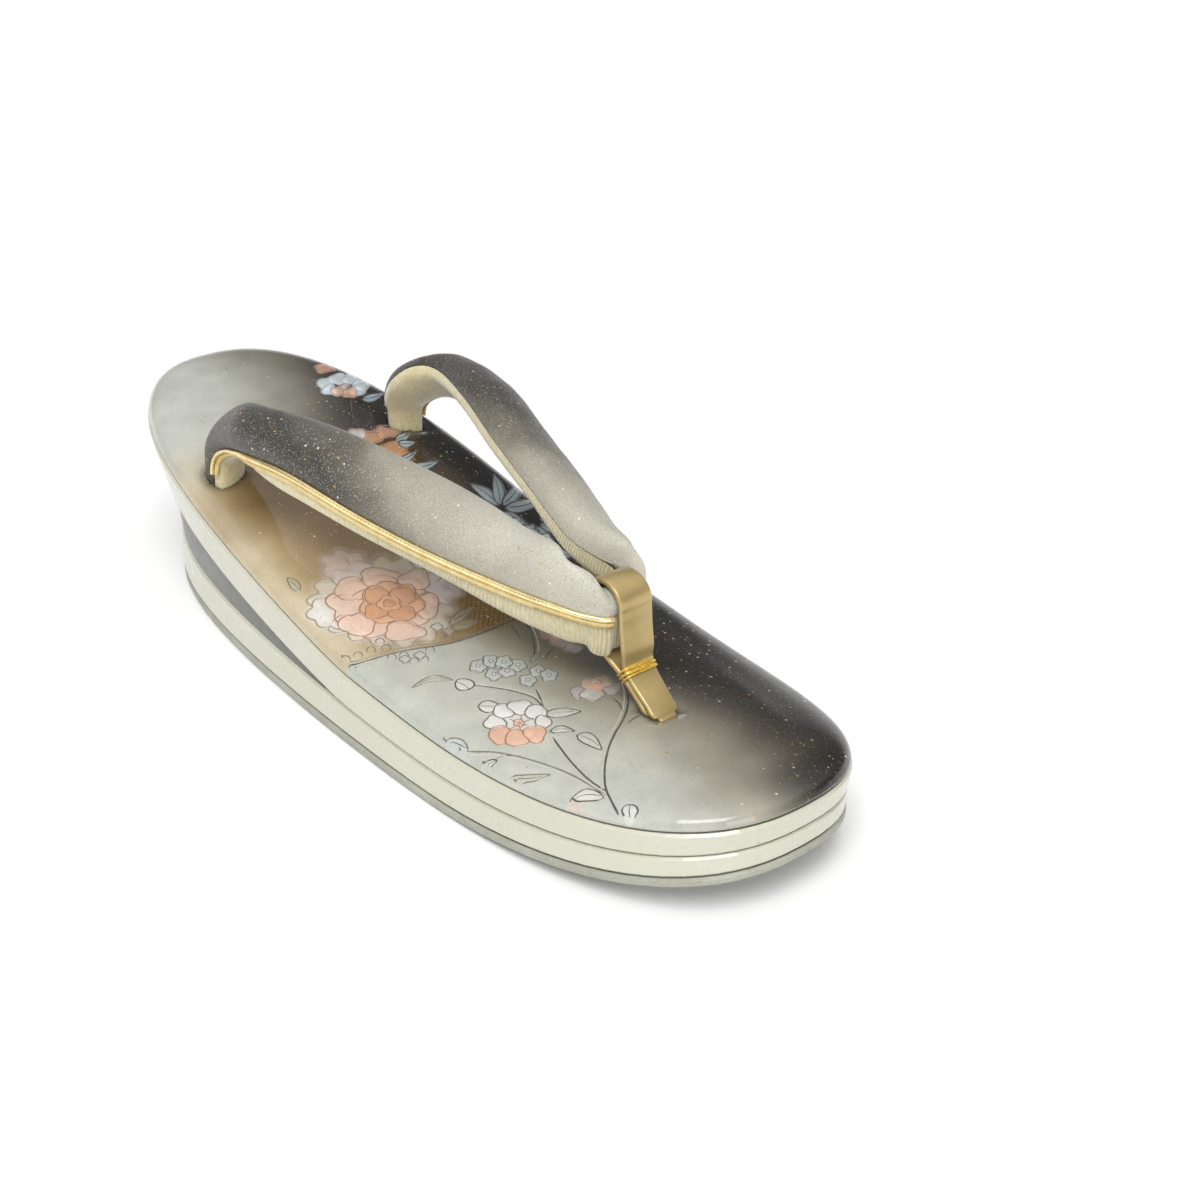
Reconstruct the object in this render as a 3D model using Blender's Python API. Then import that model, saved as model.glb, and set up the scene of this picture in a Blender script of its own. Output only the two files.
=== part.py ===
"""Zori sandal: a layered, tapering sole with a crowned footbed, two padded straps
joined at the front, and a folded leather toe post bound with thread.

Metres, +Z up. The toe points to -Y and the heel to +Y. The floor is z = 0 and the
origin lies on it, under the middle of the sole.
"""

import math

import bmesh
import bpy
from mathutils import Matrix, Vector

# Sole outline
LENGTH = 0.240
WIDTH = 0.0838
TIP_FULLNESS = 0.84
OUTLINE_WAVES = (1.135, 0.029, 0.135, 0.017)
SIDE_SWING = 0.0009

# Heights of the layers, toe end and heel end
TOE_SPRING = 0.0098
SPRING_SHARE = 0.331
OUTSOLE_THICKNESS = 0.0025
LOWER_TOE = 0.0050
LOWER_HEEL = 0.0113
WEDGE_HEIGHT = 0.0210
WEDGE_START_SHARE = 0.445
WEDGE_EASE = 0.08
WEDGE_MIN = 0.0012
UPPER_TOE = 0.0056
UPPER_HEEL = 0.0142

# How far the walls draw in, toe end and heel end
UPPER_FOOT_INSET = (0.0005, 0.0042)
LOWER_TOP_INSET = (0.0006, 0.0084)
LOWER_FOOT_INSET = (0.0006, 0.0080)
OUTSOLE_INSET = (0.0004, 0.0080)
TAPER_POWER = 4
WEDGE_RECESS_TOP = 0.0016
WEDGE_RECESS_FOOT = 0.0005
EDGE_ROUND = 0.0006

# Footbed crown
CROWN_HEIGHT = 0.0068
CROWN_RIM_INSET = 0.0004
CROWN_ROWS = (
    # inset in metres from the rim, share of the crown's height
    (0.0000, 0.10),
    (0.0003, 0.23),
    (0.0010, 0.37),
    (0.0024, 0.49),
    (0.0048, 0.60),
)
CROWN_CORES = (
    # share of the last row's ring kept, share of the crown's height
    (0.86, 0.74),
    (0.68, 0.88),
    (0.40, 0.97),
)

# Fits
GAP = 0.0003
HOLE_CLEARANCE = 0.0005

# Straps
STRAP_RISE = 0.0280
PAD_HEIGHT = 0.0066
LINING_THICKNESS = 0.0042
STRAP_SEAT = 0.0050
SLOT_SHIFT = 0.0011
NOSE_SHIFT = -0.0008
STRAP_COLUMNS = (
    "inner_y", "inner_x", "inner_z", "outer_y", "outer_x", "outer_z", "pad", "lining",
)
# A row for each section, from the rear slot to the middle of the front joint.
# y is a share of half the sole's length, x of half its width, and z of the strap's
# rise over the top band; pad and lining are shares of their own thicknesses.
STRAP_ROWS = (
    (0.536, 0.566, -0.179, 0.508, 0.792, -0.179, 0.83, 0.85),
    (0.536, 0.566, 0.268, 0.508, 0.792, 0.268, 0.83, 0.85),
    (0.533, 0.539, 0.472, 0.485, 0.795, 0.491, 0.87, 0.90),
    (0.488, 0.516, 0.767, 0.434, 0.811, 0.677, 0.87, 0.95),
    (0.425, 0.563, 1.029, 0.372, 0.840, 0.827, 0.80, 1.00),
    (0.343, 0.585, 1.177, 0.304, 0.857, 0.951, 0.92, 1.20),
    (0.175, 0.446, 1.325, 0.165, 0.823, 1.113, 0.95, 1.50),
    (0.003, 0.291, 1.383, -0.006, 0.695, 1.109, 1.00, 1.40),
    (-0.174, 0.162, 1.345, -0.178, 0.556, 1.071, 1.00, 1.35),
    (-0.316, 0.095, 1.207, -0.348, 0.399, 1.030, 0.97, 1.75),
    (-0.396, 0.129, 1.140, -0.455, 0.313, 1.033, 1.12, 1.90),
    (-0.447, 0.181, 1.104, -0.508, 0.234, 1.003, 0.92, 1.90),
    (-0.477, 0.136, 1.060, -0.538, 0.141, 0.977, 0.68, 2.10),
    (-0.478, 0.000, 1.060, -0.545, 0.000, 0.973, 0.68, 2.20),
)
STRAP_STEPS = 3
DOME_POINTS = 9
PAD_POWER = 0.9
LINING_POWER = 0.5

# Piping along the straps' outer edges
PIPING_RADIUS = 0.0007
PIPING_GAP = 0.0005

# Toe post
BAND_WIDTH = 0.0092
HOLE_WIDTH = 0.0076
POST_SHIFT = -0.0006
POST_PLY = 0.0018
BAND_PLY = 0.0015
POST_SLIT = 0.0004
POST_NECK_FORWARD = 0.564
POST_NECK_RISE = 0.0138
POST_HOLE_FORWARD = 0.636
POST_SEAT = 0.0050
POST_EDGE = 0.0004
LOOP_START = 250
LOOP_END = -12
LOOP_BACK_SHARE = 0.20
LOOP_POWER = 0.8
LOOP_POINTS = 20

# Binding thread
THREAD_RADIUS = 0.00035
THREAD_TURNS = 3
THREAD_TURN_POINTS = 12

# Resolution of the outline, points from toe to heel on each side
OUTLINE_POINTS = 52

HALF_LENGTH = LENGTH / 2
HALF_WIDTH = WIDTH / 2


def clear_scene():
    for item in list(bpy.data.objects):
        bpy.data.objects.remove(item, do_unlink=True)


def new_collection(name):
    collection = bpy.data.collections.new(name)
    bpy.context.scene.collection.children.link(collection)
    return collection


def material(name, colour, roughness, metallic=0.0):
    made = bpy.data.materials.new(name)
    made.use_nodes = True
    shader = made.node_tree.nodes["Principled BSDF"]
    shader.inputs["Base Color"].default_value = (*colour, 1.0)
    shader.inputs["Roughness"].default_value = roughness
    shader.inputs["Metallic"].default_value = metallic
    made.diffuse_color = (*colour, 1.0)
    return made


def mesh_object(name, bm, finish, collection, sharp_degrees=40):
    bmesh.ops.recalc_face_normals(bm, faces=bm.faces)
    mesh = bpy.data.meshes.new(name)
    bm.to_mesh(mesh)
    bm.free()
    mesh.shade_smooth()
    mesh.set_sharp_from_angle(angle=math.radians(sharp_degrees))
    made = bpy.data.objects.new(name, mesh)
    collection.objects.link(made)
    if finish:
        mesh.materials.append(finish)
    return made


# Sole surfaces

def along(y):
    """Share of the way from the toe, 0, to the heel, 1."""
    return min(max((y + HALF_LENGTH) / LENGTH, 0.0), 1.0)


def half_width(theta):
    base, first, second, third = OUTLINE_WAVES
    wave = (base + first * math.cos(theta) + second * math.cos(2 * theta)
            + third * math.cos(3 * theta))
    return HALF_WIDTH * math.sin(theta) ** TIP_FULLNESS * wave


def outsole_foot(y):
    start = -HALF_LENGTH + SPRING_SHARE * LENGTH
    reach = max(start - y, 0.0) / (start + HALF_LENGTH)
    return TOE_SPRING * reach ** 2


def outsole_top(y):
    return outsole_foot(y) + OUTSOLE_THICKNESS


def lower_top(y):
    return outsole_top(y) + LOWER_TOE + (LOWER_HEEL - LOWER_TOE) * along(y)


def wedge_height(y):
    start = -HALF_LENGTH + WEDGE_START_SHARE * LENGTH
    reach = max(y - start, 0.0) / (HALF_LENGTH - start)
    return WEDGE_HEIGHT * (1 + WEDGE_EASE) * reach ** 2 / (reach + WEDGE_EASE)


def wedge_top(y):
    return lower_top(y) + wedge_height(y)


def upper_top(y):
    return wedge_top(y) + UPPER_TOE + (UPPER_HEEL - UPPER_TOE) * along(y)


def taper(ends, extra=0.0):
    """A wall's inset, growing from the toe's value to the heel's."""
    toe, heel = ends
    return lambda y: toe + (heel - toe) * along(y) ** TAPER_POWER + extra


def flat_inset(amount):
    return lambda y: amount


def swing(y):
    return -SIDE_SWING * math.sin(2 * math.pi * along(y))


def outline_side(inset, first_theta=0.0):
    """Points (x, y) of the outline's +X side from toe to heel, drawn in by inset(y)."""
    count = OUTLINE_POINTS
    step = 1e-3
    points = []
    for index in range(count + 1):
        theta = first_theta + (math.pi - first_theta) * index / count
        low = max(theta - step, 0.0)
        high = min(theta + step, math.pi)
        run_x = half_width(high) - half_width(low)
        run_y = -HALF_LENGTH * (math.cos(high) - math.cos(low))
        x = half_width(theta)
        y = -HALF_LENGTH * math.cos(theta)
        if theta < step or theta > math.pi - step:
            normal = Vector((0.0, -1.0 if theta < step else 1.0))
            x = 0.0
        else:
            normal = Vector((run_y, -run_x)).normalized()
        amount = inset(y)
        points.append((max(x - normal.x * amount, 0.0), y - normal.y * amount))
    return points


def add_ring(bm, side, height, keep=1.0):
    """A closed ring of vertices: down the +X side, back up the -X side."""
    ring = []
    right = [(x * keep, y * (1 - (1 - keep) * HALF_WIDTH / HALF_LENGTH)) for x, y in side]
    last = len(right) - 1
    order = [(x, y) for x, y in right]
    order += [(-x, y) for x, y in reversed(right[1:last] if right[0][0] == 0 else right[:last])]
    for x, y in order:
        ring.append(bm.verts.new((x + swing(y), y, height(y))))
    return ring


def bridge(bm, lower, upper):
    count = len(lower)
    for index in range(count):
        after = (index + 1) % count
        bm.faces.new((lower[index], lower[after], upper[after], upper[index]))


def cap(bm, ring, pairs):
    """Close a ring with strips across the sole, each flat from side to side."""
    for left, right, left_after, right_after in pairs:
        corners = []
        for index in (left, right, right_after, left_after):
            if ring[index] not in corners:
                corners.append(ring[index])
        bm.faces.new(corners)


def cap_pairs(count_side, pointed_toe):
    """Index pairs of the ring's two sides, from toe to heel."""
    total = 2 * count_side if pointed_toe else 2 * count_side + 1
    pairs = []
    for index in range(count_side):
        mirror = (total - index) % total if pointed_toe else total - 1 - index
        mirror_after = mirror - 1 if index or not pointed_toe else total - 1
        pairs.append((index, mirror, index + 1, mirror_after))
    return pairs


def layer(name, rows, finish, collection, first_theta=0.0):
    """A layer of the sole from rows of (side points, height function, ring share)."""
    bm = bmesh.new()
    rings = [add_ring(bm, side, height, keep) for side, height, keep in rows]
    for lower, upper in zip(rings, rings[1:]):
        bridge(bm, lower, upper)
    pairs = cap_pairs(OUTLINE_POINTS, first_theta == 0.0)
    cap(bm, rings[0], pairs)
    cap(bm, rings[-1], pairs)
    return mesh_object(name, bm, finish, collection)


def raised(height, amount):
    return lambda y: height(y) + amount


def rounded_layer(name, foot, top, foot_inset, top_inset, finish, collection, first_theta=0.0):
    """A layer whose upper and lower rims have a small round."""
    def side(ends, extra=0.0):
        return outline_side(taper(ends, extra), first_theta)
    rows = (
        (side(foot_inset, EDGE_ROUND), foot, 1.0),
        (side(foot_inset), raised(foot, EDGE_ROUND), 1.0),
        (side(top_inset), raised(top, -EDGE_ROUND), 1.0),
        (side(top_inset, EDGE_ROUND), top, 1.0),
    )
    return layer(name, rows, finish, collection, first_theta)


def theta_at(y):
    return math.acos(-y / HALF_LENGTH)


def wedge_front():
    """The line where the heel wedge has grown to its least thickness."""
    low, high = -HALF_LENGTH, HALF_LENGTH
    for _ in range(40):
        middle = (low + high) / 2
        if wedge_height(middle) < WEDGE_MIN:
            low = middle
        else:
            high = middle
    return high


def build_sole(finishes, collection):
    rounded_layer("outsole", outsole_foot, raised(outsole_top, -GAP),
                  OUTSOLE_INSET, OUTSOLE_INSET, finishes["outsole"], collection)
    rounded_layer("lower_layer", outsole_top, raised(lower_top, -GAP),
                  LOWER_FOOT_INSET, LOWER_TOP_INSET, finishes["enamel"], collection)
    recess_foot = tuple(value + WEDGE_RECESS_FOOT for value in LOWER_TOP_INSET)
    recess_top = tuple(value + WEDGE_RECESS_TOP for value in UPPER_FOOT_INSET)
    start = theta_at(wedge_front())
    rows = (
        (outline_side(taper(recess_foot), start), lower_top, 1.0),
        (outline_side(taper(recess_top), start), raised(wedge_top, -GAP), 1.0),
    )
    layer("heel_wedge", rows, finishes["wedge"], collection, start)
    upper = rounded_layer("upper_layer", wedge_top, raised(upper_top, -GAP),
                          UPPER_FOOT_INSET, (0.0, 0.0), finishes["enamel"], collection)
    rows = [(outline_side(flat_inset(CROWN_RIM_INSET + EDGE_ROUND)), upper_top, 1.0)]
    for inset, share in CROWN_ROWS:
        rows.append((outline_side(flat_inset(CROWN_RIM_INSET + inset)),
                     raised(upper_top, share * CROWN_HEIGHT), 1.0))
    core = outline_side(flat_inset(CROWN_RIM_INSET + CROWN_ROWS[-1][0]))
    for keep, share in CROWN_CORES:
        rows.append((core, raised(upper_top, share * CROWN_HEIGHT), keep))
    footbed = layer("footbed", rows, finishes["footbed"], collection)
    return upper, footbed


# Straps

def strap_row(row):
    values = dict(zip(STRAP_COLUMNS, row))
    points = []
    for edge in ("inner", "outer"):
        y = values[edge + "_y"] * HALF_LENGTH
        x = -values[edge + "_x"] * HALF_WIDTH
        z = upper_top(y) + values[edge + "_z"] * STRAP_RISE
        points.append(Vector((x, y, z)))
    return points[0], points[1], values["pad"] * PAD_HEIGHT, values["lining"] * LINING_THICKNESS


def smooth_between(before, start, end, after, share):
    """Catmull-Rom curve through start and end."""
    square = share * share
    cube = square * share
    return 0.5 * (2 * start + (end - before) * share
                  + (2 * before - 5 * start + 4 * end - after) * square
                  + (3 * start - before - 3 * end + after) * cube)


def strap_sections():
    """Sections of the -X strap: inner edge, outer edge, pad height, lining thickness."""
    rows = [strap_row(row) for row in STRAP_ROWS]
    seat = upper_top(rows[0][0].y) - STRAP_SEAT
    rows[0][0].z = rows[0][1].z = seat
    last = len(rows) - 1
    sections = []
    for index in range(last):
        around = [rows[max(index - 1, 0)], rows[index], rows[index + 1],
                  rows[min(index + 2, last)]]
        for step in range(STRAP_STEPS):
            share = step / STRAP_STEPS
            sections.append(tuple(smooth_between(*(row[part] for row in around), share)
                                  for part in range(4)))
    sections.append(rows[last])
    return sections


def section_frames(sections):
    """Middle, direction to the outer edge, cover's normal and half width of each section."""
    middles = [(inner + outer) / 2 for inner, outer, _, _ in sections]
    frames = []
    last = len(sections) - 1
    for index, (inner, outer, pad, lining) in enumerate(sections):
        tangent = middles[min(index + 1, last)] - middles[max(index - 1, 0)]
        if index == last:
            tangent = Vector((1.0, 0.0, 0.0))
        across = (outer - inner).normalized()
        normal = across.cross(tangent).normalized()
        frames.append((middles[index], across, normal, (outer - inner).length / 2, pad, lining))
    return frames


def dome(half, height, power):
    """Points (across, up) of a dome from the outer edge to the inner one."""
    points = []
    for index in range(DOME_POINTS + 1):
        angle = math.pi * index / DOME_POINTS
        points.append((half * math.cos(angle), height * abs(math.sin(angle)) ** power))
    return points


def leaned(point):
    """The straps stand a little across the foot, turned inward at their ends."""
    nose = STRAP_ROWS[-1][0] * HALF_LENGTH
    slot = STRAP_ROWS[0][0] * HALF_LENGTH
    share = max((point.y - nose) / (slot - nose), 0.0)
    return point + Vector((NOSE_SHIFT + (SLOT_SHIFT - NOSE_SHIFT) * share, 0.0, 0.0))


def section_points(frame, part):
    middle, across, normal, half, pad, lining = frame
    if part == "cover":
        shape = dome(half, pad, PAD_POWER)
        base = 0.0
    else:
        shape = [(x, -up) for x, up in dome(half, lining, LINING_POWER)]
        base = -GAP
    return [middle + across * x + normal * (base + up) for x, up in shape]


def strap_body(name, frames, part, finish, collection):
    """Both arms in one loft, from one slot round the front joint to the other slot."""
    outlines = [section_points(frame, part) for frame in frames]
    for point in outlines[-1]:
        point.x = 0.0
    other = [[Vector((-point.x, point.y, point.z)) for point in outline]
             for outline in reversed(outlines[:-1])]
    bm = bmesh.new()
    rings = [[bm.verts.new(leaned(point)) for point in outline]
             for outline in outlines + other]
    for lower, upper in zip(rings, rings[1:]):
        bridge(bm, lower, upper)
    bm.faces.new(rings[0])
    bm.faces.new(rings[-1])
    return mesh_object(name, bm, finish, collection, 60)


def piping(name, frames, side, finish, collection):
    """A cord along a strap's outer edge, from the footbed to the toe post."""
    offset = PIPING_RADIUS + PIPING_GAP
    points = []
    for middle, across, normal, half, _, _ in frames[STRAP_STEPS:]:
        point = middle + across * (half + offset) - normal * (GAP / 2)
        if point.x < -(BAND_WIDTH / 2 + PIPING_RADIUS + 2 * PIPING_GAP):
            points.append(point)
    curve = bpy.data.curves.new(name, "CURVE")
    curve.dimensions = "3D"
    curve.bevel_depth = PIPING_RADIUS
    curve.bevel_resolution = 1
    curve.use_fill_caps = True
    spline = curve.splines.new("POLY")
    spline.points.add(len(points) - 1)
    for target, point in zip(spline.points, points):
        target.co = (*leaned(Vector((-side * point.x, point.y, point.z))), 1.0)
    curve.materials.append(finish)
    made = bpy.data.objects.new(name, curve)
    collection.objects.link(made)
    return made


def slot_cutter(name, frame, side, collection):
    """The hole for one strap's end: its section with clearance, straight down."""
    middle, across, normal, half, pad, lining = frame
    bm = bmesh.new()
    top = upper_top(middle.y) + CROWN_HEIGHT + STRAP_SEAT
    foot = upper_top(middle.y) - STRAP_SEAT - HOLE_CLEARANCE
    wide = half + HOLE_CLEARANCE
    outline = dome(wide, pad + HOLE_CLEARANCE, PAD_POWER)
    outline += [(-x, -up - GAP) for x, up in dome(wide, lining + HOLE_CLEARANCE, LINING_POWER)]
    rings = []
    for height in (foot, top):
        ring = []
        for x, up in outline:
            point = middle + across * x + normal * up
            ring.append(bm.verts.new(leaned(Vector((-side * point.x, point.y, height)))))
        rings.append(ring)
    bridge(bm, *rings)
    for ring in rings:
        bm.faces.new(ring)
    bmesh.ops.remove_doubles(bm, verts=bm.verts, dist=1e-6)
    return cutter(name, bm, collection)


def cutter(name, bm, collection):
    made = mesh_object(name, bm, None, collection)
    made.hide_render = True
    made.display_type = "WIRE"
    return made


def cut(target, tool):
    boolean = target.modifiers.new(tool.name, "BOOLEAN")
    boolean.operation = "DIFFERENCE"
    boolean.solver = "EXACT"
    boolean.object = tool


# Toe post

def post_axis():
    """Neck and hole of the post, and the direction from neck down to hole."""
    neck_y = -POST_NECK_FORWARD * HALF_LENGTH
    neck = Vector((POST_SHIFT, neck_y, upper_top(neck_y) + POST_NECK_RISE))
    hole_y = -POST_HOLE_FORWARD * HALF_LENGTH
    hole = Vector((POST_SHIFT, hole_y, upper_top(hole_y) + CROWN_HEIGHT))
    return neck, hole, (hole - neck).normalized()


def post_path(nose):
    """Centre line of the leather, up the rear ply, round the straps and down the front
    ply, as (y, z, width, thickness)."""
    neck, hole, down = post_axis()
    rear = Vector((0.0, down.z, -down.y)) * -1
    shift = rear * ((POST_PLY + POST_SLIT) / 2)
    middle, across, normal, half, pad, lining = nose
    reach = 2 * GAP + BAND_PLY / 2
    end = hole + down * POST_SEAT
    arc = []
    for index in range(LOOP_POINTS + 1):
        angle = math.radians(LOOP_START + (LOOP_END - LOOP_START) * index / LOOP_POINTS)
        x = math.cos(angle)
        width = half * (1 + (LOOP_BACK_SHARE if x < 0 else 0.0)) + reach
        up = math.sin(angle)
        height = (pad if up > 0 else lining) + reach
        arc.append(middle + across * (x * width)
                   + normal * (math.copysign(abs(up) ** LOOP_POWER, up) * height))
    neck_width = (BAND_WIDTH + HOLE_WIDTH) / 2
    low = [(end, HOLE_WIDTH), (hole, HOLE_WIDTH), (neck, neck_width)]
    path = [(point + shift, width, POST_PLY) for point, width in low]
    path.append(((neck + shift + arc[0]) / 2, BAND_WIDTH, (POST_PLY + BAND_PLY) / 2))
    path += [(point, BAND_WIDTH, BAND_PLY) for point in arc]
    path.append(((neck - shift + arc[-1]) / 2, BAND_WIDTH, (POST_PLY + BAND_PLY) / 2))
    path += [(point - shift, width, POST_PLY) for point, width in reversed(low)]
    return [Vector((point.y, point.z, width, thickness)) for point, width, thickness in path]


def ribbon(name, points, x_centre, edge, finish, collection):
    """A flat strip along a path of (y, z, width, thickness), with chamfered edges."""
    bm = bmesh.new()
    rings = []
    last = len(points) - 1
    for index, point in enumerate(points):
        run = (points[min(index + 1, last)].xy - points[max(index - 1, 0)].xy).normalized()
        half = point.z / 2
        deep = point.w / 2
        corners = ((-half, -deep + edge), (-half, deep - edge), (-half + edge, deep),
                   (half - edge, deep), (half, deep - edge), (half, -deep + edge),
                   (half - edge, -deep), (-half + edge, -deep))
        rings.append([bm.verts.new((x_centre + x, point.x - run.y * out, point.y + run.x * out))
                      for x, out in corners])
    for lower, upper in zip(rings, rings[1:]):
        bridge(bm, lower, upper)
    bm.faces.new(rings[0])
    bm.faces.new(rings[-1])
    return mesh_object(name, bm, finish, collection, 50)


def smooth_path(points, steps):
    last = len(points) - 1
    path = []
    for index in range(last):
        around = (points[max(index - 1, 0)], points[index], points[index + 1],
                  points[min(index + 2, last)])
        for step in range(steps):
            path.append(smooth_between(*around, step / steps))
    path.append(points[last])
    return path


def post_cutter(collection):
    """The slanted hole in line with the post."""
    neck, hole, down = post_axis()
    length = 2 * POST_SEAT + 2 * HOLE_CLEARANCE
    bm = bmesh.new()
    bmesh.ops.create_cube(bm, size=1.0)
    size = (HOLE_WIDTH + 2 * HOLE_CLEARANCE,
            2 * POST_PLY + POST_SLIT + 2 * HOLE_CLEARANCE, length)
    turn = Vector((0.0, 0.0, -1.0)).rotation_difference(down).to_matrix().to_4x4()
    place = Matrix.Translation(hole) @ turn @ Matrix.Diagonal((*size, 1.0))
    bmesh.ops.transform(bm, matrix=place, verts=bm.verts)
    return cutter("post_hole_cutter", bm, collection)


def binding(finish, collection):
    """Turns of thread round both plies at the neck."""
    neck, _, down = post_axis()
    rear = Vector((0.0, down.z, -down.y)) * -1
    half_x = (BAND_WIDTH + HOLE_WIDTH) / 4 + GAP + THREAD_RADIUS
    half_y = POST_PLY + POST_SLIT / 2 + GAP + THREAD_RADIUS
    pitch = 2 * THREAD_RADIUS + GAP
    count = THREAD_TURNS * THREAD_TURN_POINTS
    curve = bpy.data.curves.new("binding_thread", "CURVE")
    curve.dimensions = "3D"
    curve.bevel_depth = THREAD_RADIUS
    curve.bevel_resolution = 1
    curve.use_fill_caps = True
    spline = curve.splines.new("POLY")
    spline.points.add(count)
    for index in range(count + 1):
        turn = index / THREAD_TURN_POINTS
        angle = 2 * math.pi * turn
        x = math.copysign(abs(math.cos(angle)) ** 0.35, math.cos(angle)) * half_x
        y = math.copysign(abs(math.sin(angle)) ** 0.35, math.sin(angle)) * half_y
        point = neck + down * (pitch * (turn - THREAD_TURNS / 2) + POST_PLY) + rear * y
        spline.points[index].co = (point.x + x, point.y, point.z, 1.0)
    curve.materials.append(finish)
    made = bpy.data.objects.new("binding_thread", curve)
    collection.objects.link(made)
    return made


def main():
    clear_scene()
    parts = new_collection("zori_sandal")
    cutters = new_collection("cutters")
    finishes = {
        "outsole": material("outsole_rubber", (0.39, 0.40, 0.33), 0.75),
        "enamel": material("ivory_enamel", (0.67, 0.65, 0.55), 0.25),
        "wedge": material("grey_wedge", (0.27, 0.28, 0.28), 0.45),
        "footbed": material("glossy_footbed", (0.45, 0.43, 0.36), 0.12),
        "cover": material("strap_cloth", (0.33, 0.30, 0.26), 0.55),
        "lining": material("strap_pile", (0.72, 0.66, 0.42), 0.85),
        "gold": material("gold_leather", (0.55, 0.40, 0.19), 0.35, 0.6),
        "cord": material("gold_cord", (0.70, 0.50, 0.20), 0.30, 0.8),
        "thread": material("gold_thread", (0.65, 0.42, 0.10), 0.40, 0.7),
    }
    upper, footbed = build_sole(finishes, parts)
    frames = section_frames(strap_sections())
    strap_body("straps", frames, "cover", finishes["cover"], parts)
    strap_body("strap_lining", frames, "lining", finishes["lining"], parts)
    for side, label in ((1, "left"), (-1, "right")):
        piping("piping_" + label, frames, side, finishes["cord"], parts)
        tool = slot_cutter("slot_cutter_" + label, frames[0], side, cutters)
        cut(footbed, tool)
        cut(upper, tool)
    path = smooth_path(post_path(frames[-1]), 2)
    ribbon("toe_post", path, POST_SHIFT, POST_EDGE, finishes["gold"], parts)
    cut(footbed, post_cutter(cutters))
    binding(finishes["thread"], parts)


main()
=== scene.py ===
"""Zori sandal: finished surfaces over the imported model.

The sizes below repeat those of the model. Metres, toe to -Y, heel to +Y, floor at z = 0.
The ornament is placed on the footbed through the camera, in picture points of a
1200 x 1200 frame, and then lies on the footbed's own surface.
"""

import math

import bmesh
import bpy
import numpy as np
from mathutils import Matrix, Vector, kdtree, noise


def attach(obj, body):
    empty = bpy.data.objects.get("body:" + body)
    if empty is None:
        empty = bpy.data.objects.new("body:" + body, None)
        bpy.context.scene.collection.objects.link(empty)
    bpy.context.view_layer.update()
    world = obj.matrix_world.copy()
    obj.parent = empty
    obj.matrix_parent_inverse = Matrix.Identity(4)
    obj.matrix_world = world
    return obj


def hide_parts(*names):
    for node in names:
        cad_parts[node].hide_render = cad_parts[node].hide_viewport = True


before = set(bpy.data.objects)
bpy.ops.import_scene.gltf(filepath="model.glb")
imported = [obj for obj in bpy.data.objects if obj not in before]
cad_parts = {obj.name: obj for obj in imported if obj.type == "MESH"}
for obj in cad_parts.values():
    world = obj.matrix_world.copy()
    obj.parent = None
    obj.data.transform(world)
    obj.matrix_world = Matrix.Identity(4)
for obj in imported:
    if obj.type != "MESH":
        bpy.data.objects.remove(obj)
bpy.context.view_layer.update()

# Sole
LENGTH, WIDTH = 0.240, 0.0838
HALF_LENGTH, HALF_WIDTH = LENGTH / 2, WIDTH / 2
TIP_FULLNESS = 0.84
OUTLINE_WAVES = (1.135, 0.029, 0.135, 0.017)
SIDE_SWING = 0.0009
TOE_SPRING, SPRING_SHARE = 0.0098, 0.331
OUTSOLE_THICKNESS = 0.0025
LOWER_TOE, LOWER_HEEL = 0.0050, 0.0113
WEDGE_HEIGHT, WEDGE_START_SHARE, WEDGE_EASE = 0.0210, 0.445, 0.08
UPPER_TOE, UPPER_HEEL = 0.0056, 0.0142
CROWN_HEIGHT, CROWN_RIM_INSET = 0.0068, 0.0004
CROWN_INSETS = (0.0, 0.0003, 0.0010, 0.0024, 0.0048, 0.0099, 0.0165, 0.0268, 0.0420)
CROWN_SHARES = (0.10, 0.23, 0.37, 0.49, 0.60, 0.74, 0.88, 0.97, 1.0)
GAP = 0.0003

# Straps
STRAP_RISE = 0.0280
PAD_HEIGHT, LINING_THICKNESS = 0.0066, 0.0042
STRAP_SEAT = 0.0050
SLOT_SHIFT, NOSE_SHIFT = 0.0011, -0.0008
STRAP_COLUMNS = (
    "inner_y", "inner_x", "inner_z", "outer_y", "outer_x", "outer_z", "pad", "lining",
)
STRAP_ROWS = (
    (0.536, 0.566, -0.179, 0.508, 0.792, -0.179, 0.83, 0.85),
    (0.536, 0.566, 0.268, 0.508, 0.792, 0.268, 0.83, 0.85),
    (0.533, 0.539, 0.472, 0.485, 0.795, 0.491, 0.87, 0.90),
    (0.488, 0.516, 0.767, 0.434, 0.811, 0.677, 0.87, 0.95),
    (0.425, 0.563, 1.029, 0.372, 0.840, 0.827, 0.80, 1.00),
    (0.343, 0.585, 1.177, 0.304, 0.857, 0.951, 0.92, 1.20),
    (0.175, 0.446, 1.325, 0.165, 0.823, 1.113, 0.95, 1.50),
    (0.003, 0.291, 1.383, -0.006, 0.695, 1.109, 1.00, 1.40),
    (-0.174, 0.162, 1.345, -0.178, 0.556, 1.071, 1.00, 1.35),
    (-0.316, 0.095, 1.207, -0.348, 0.399, 1.030, 0.97, 1.75),
    (-0.396, 0.129, 1.140, -0.455, 0.313, 1.033, 1.12, 1.90),
    (-0.447, 0.181, 1.104, -0.508, 0.234, 1.003, 0.92, 1.90),
    (-0.477, 0.136, 1.060, -0.538, 0.141, 0.977, 0.68, 2.10),
    (-0.478, 0.000, 1.060, -0.545, 0.000, 0.973, 0.68, 2.20),
)
STRAP_STEPS = 16
DOME_POINTS = 40
PAD_POWER, LINING_POWER = 0.9, 0.5
CORD_RADIUS, EDGE_TUCK = 0.00060, 0.0006
PLUMB_LEAN = 1.1
PUFF_RISE, PUFF_Y, PUFF_REACH = 0.0048, -0.0540, 0.0165
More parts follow.
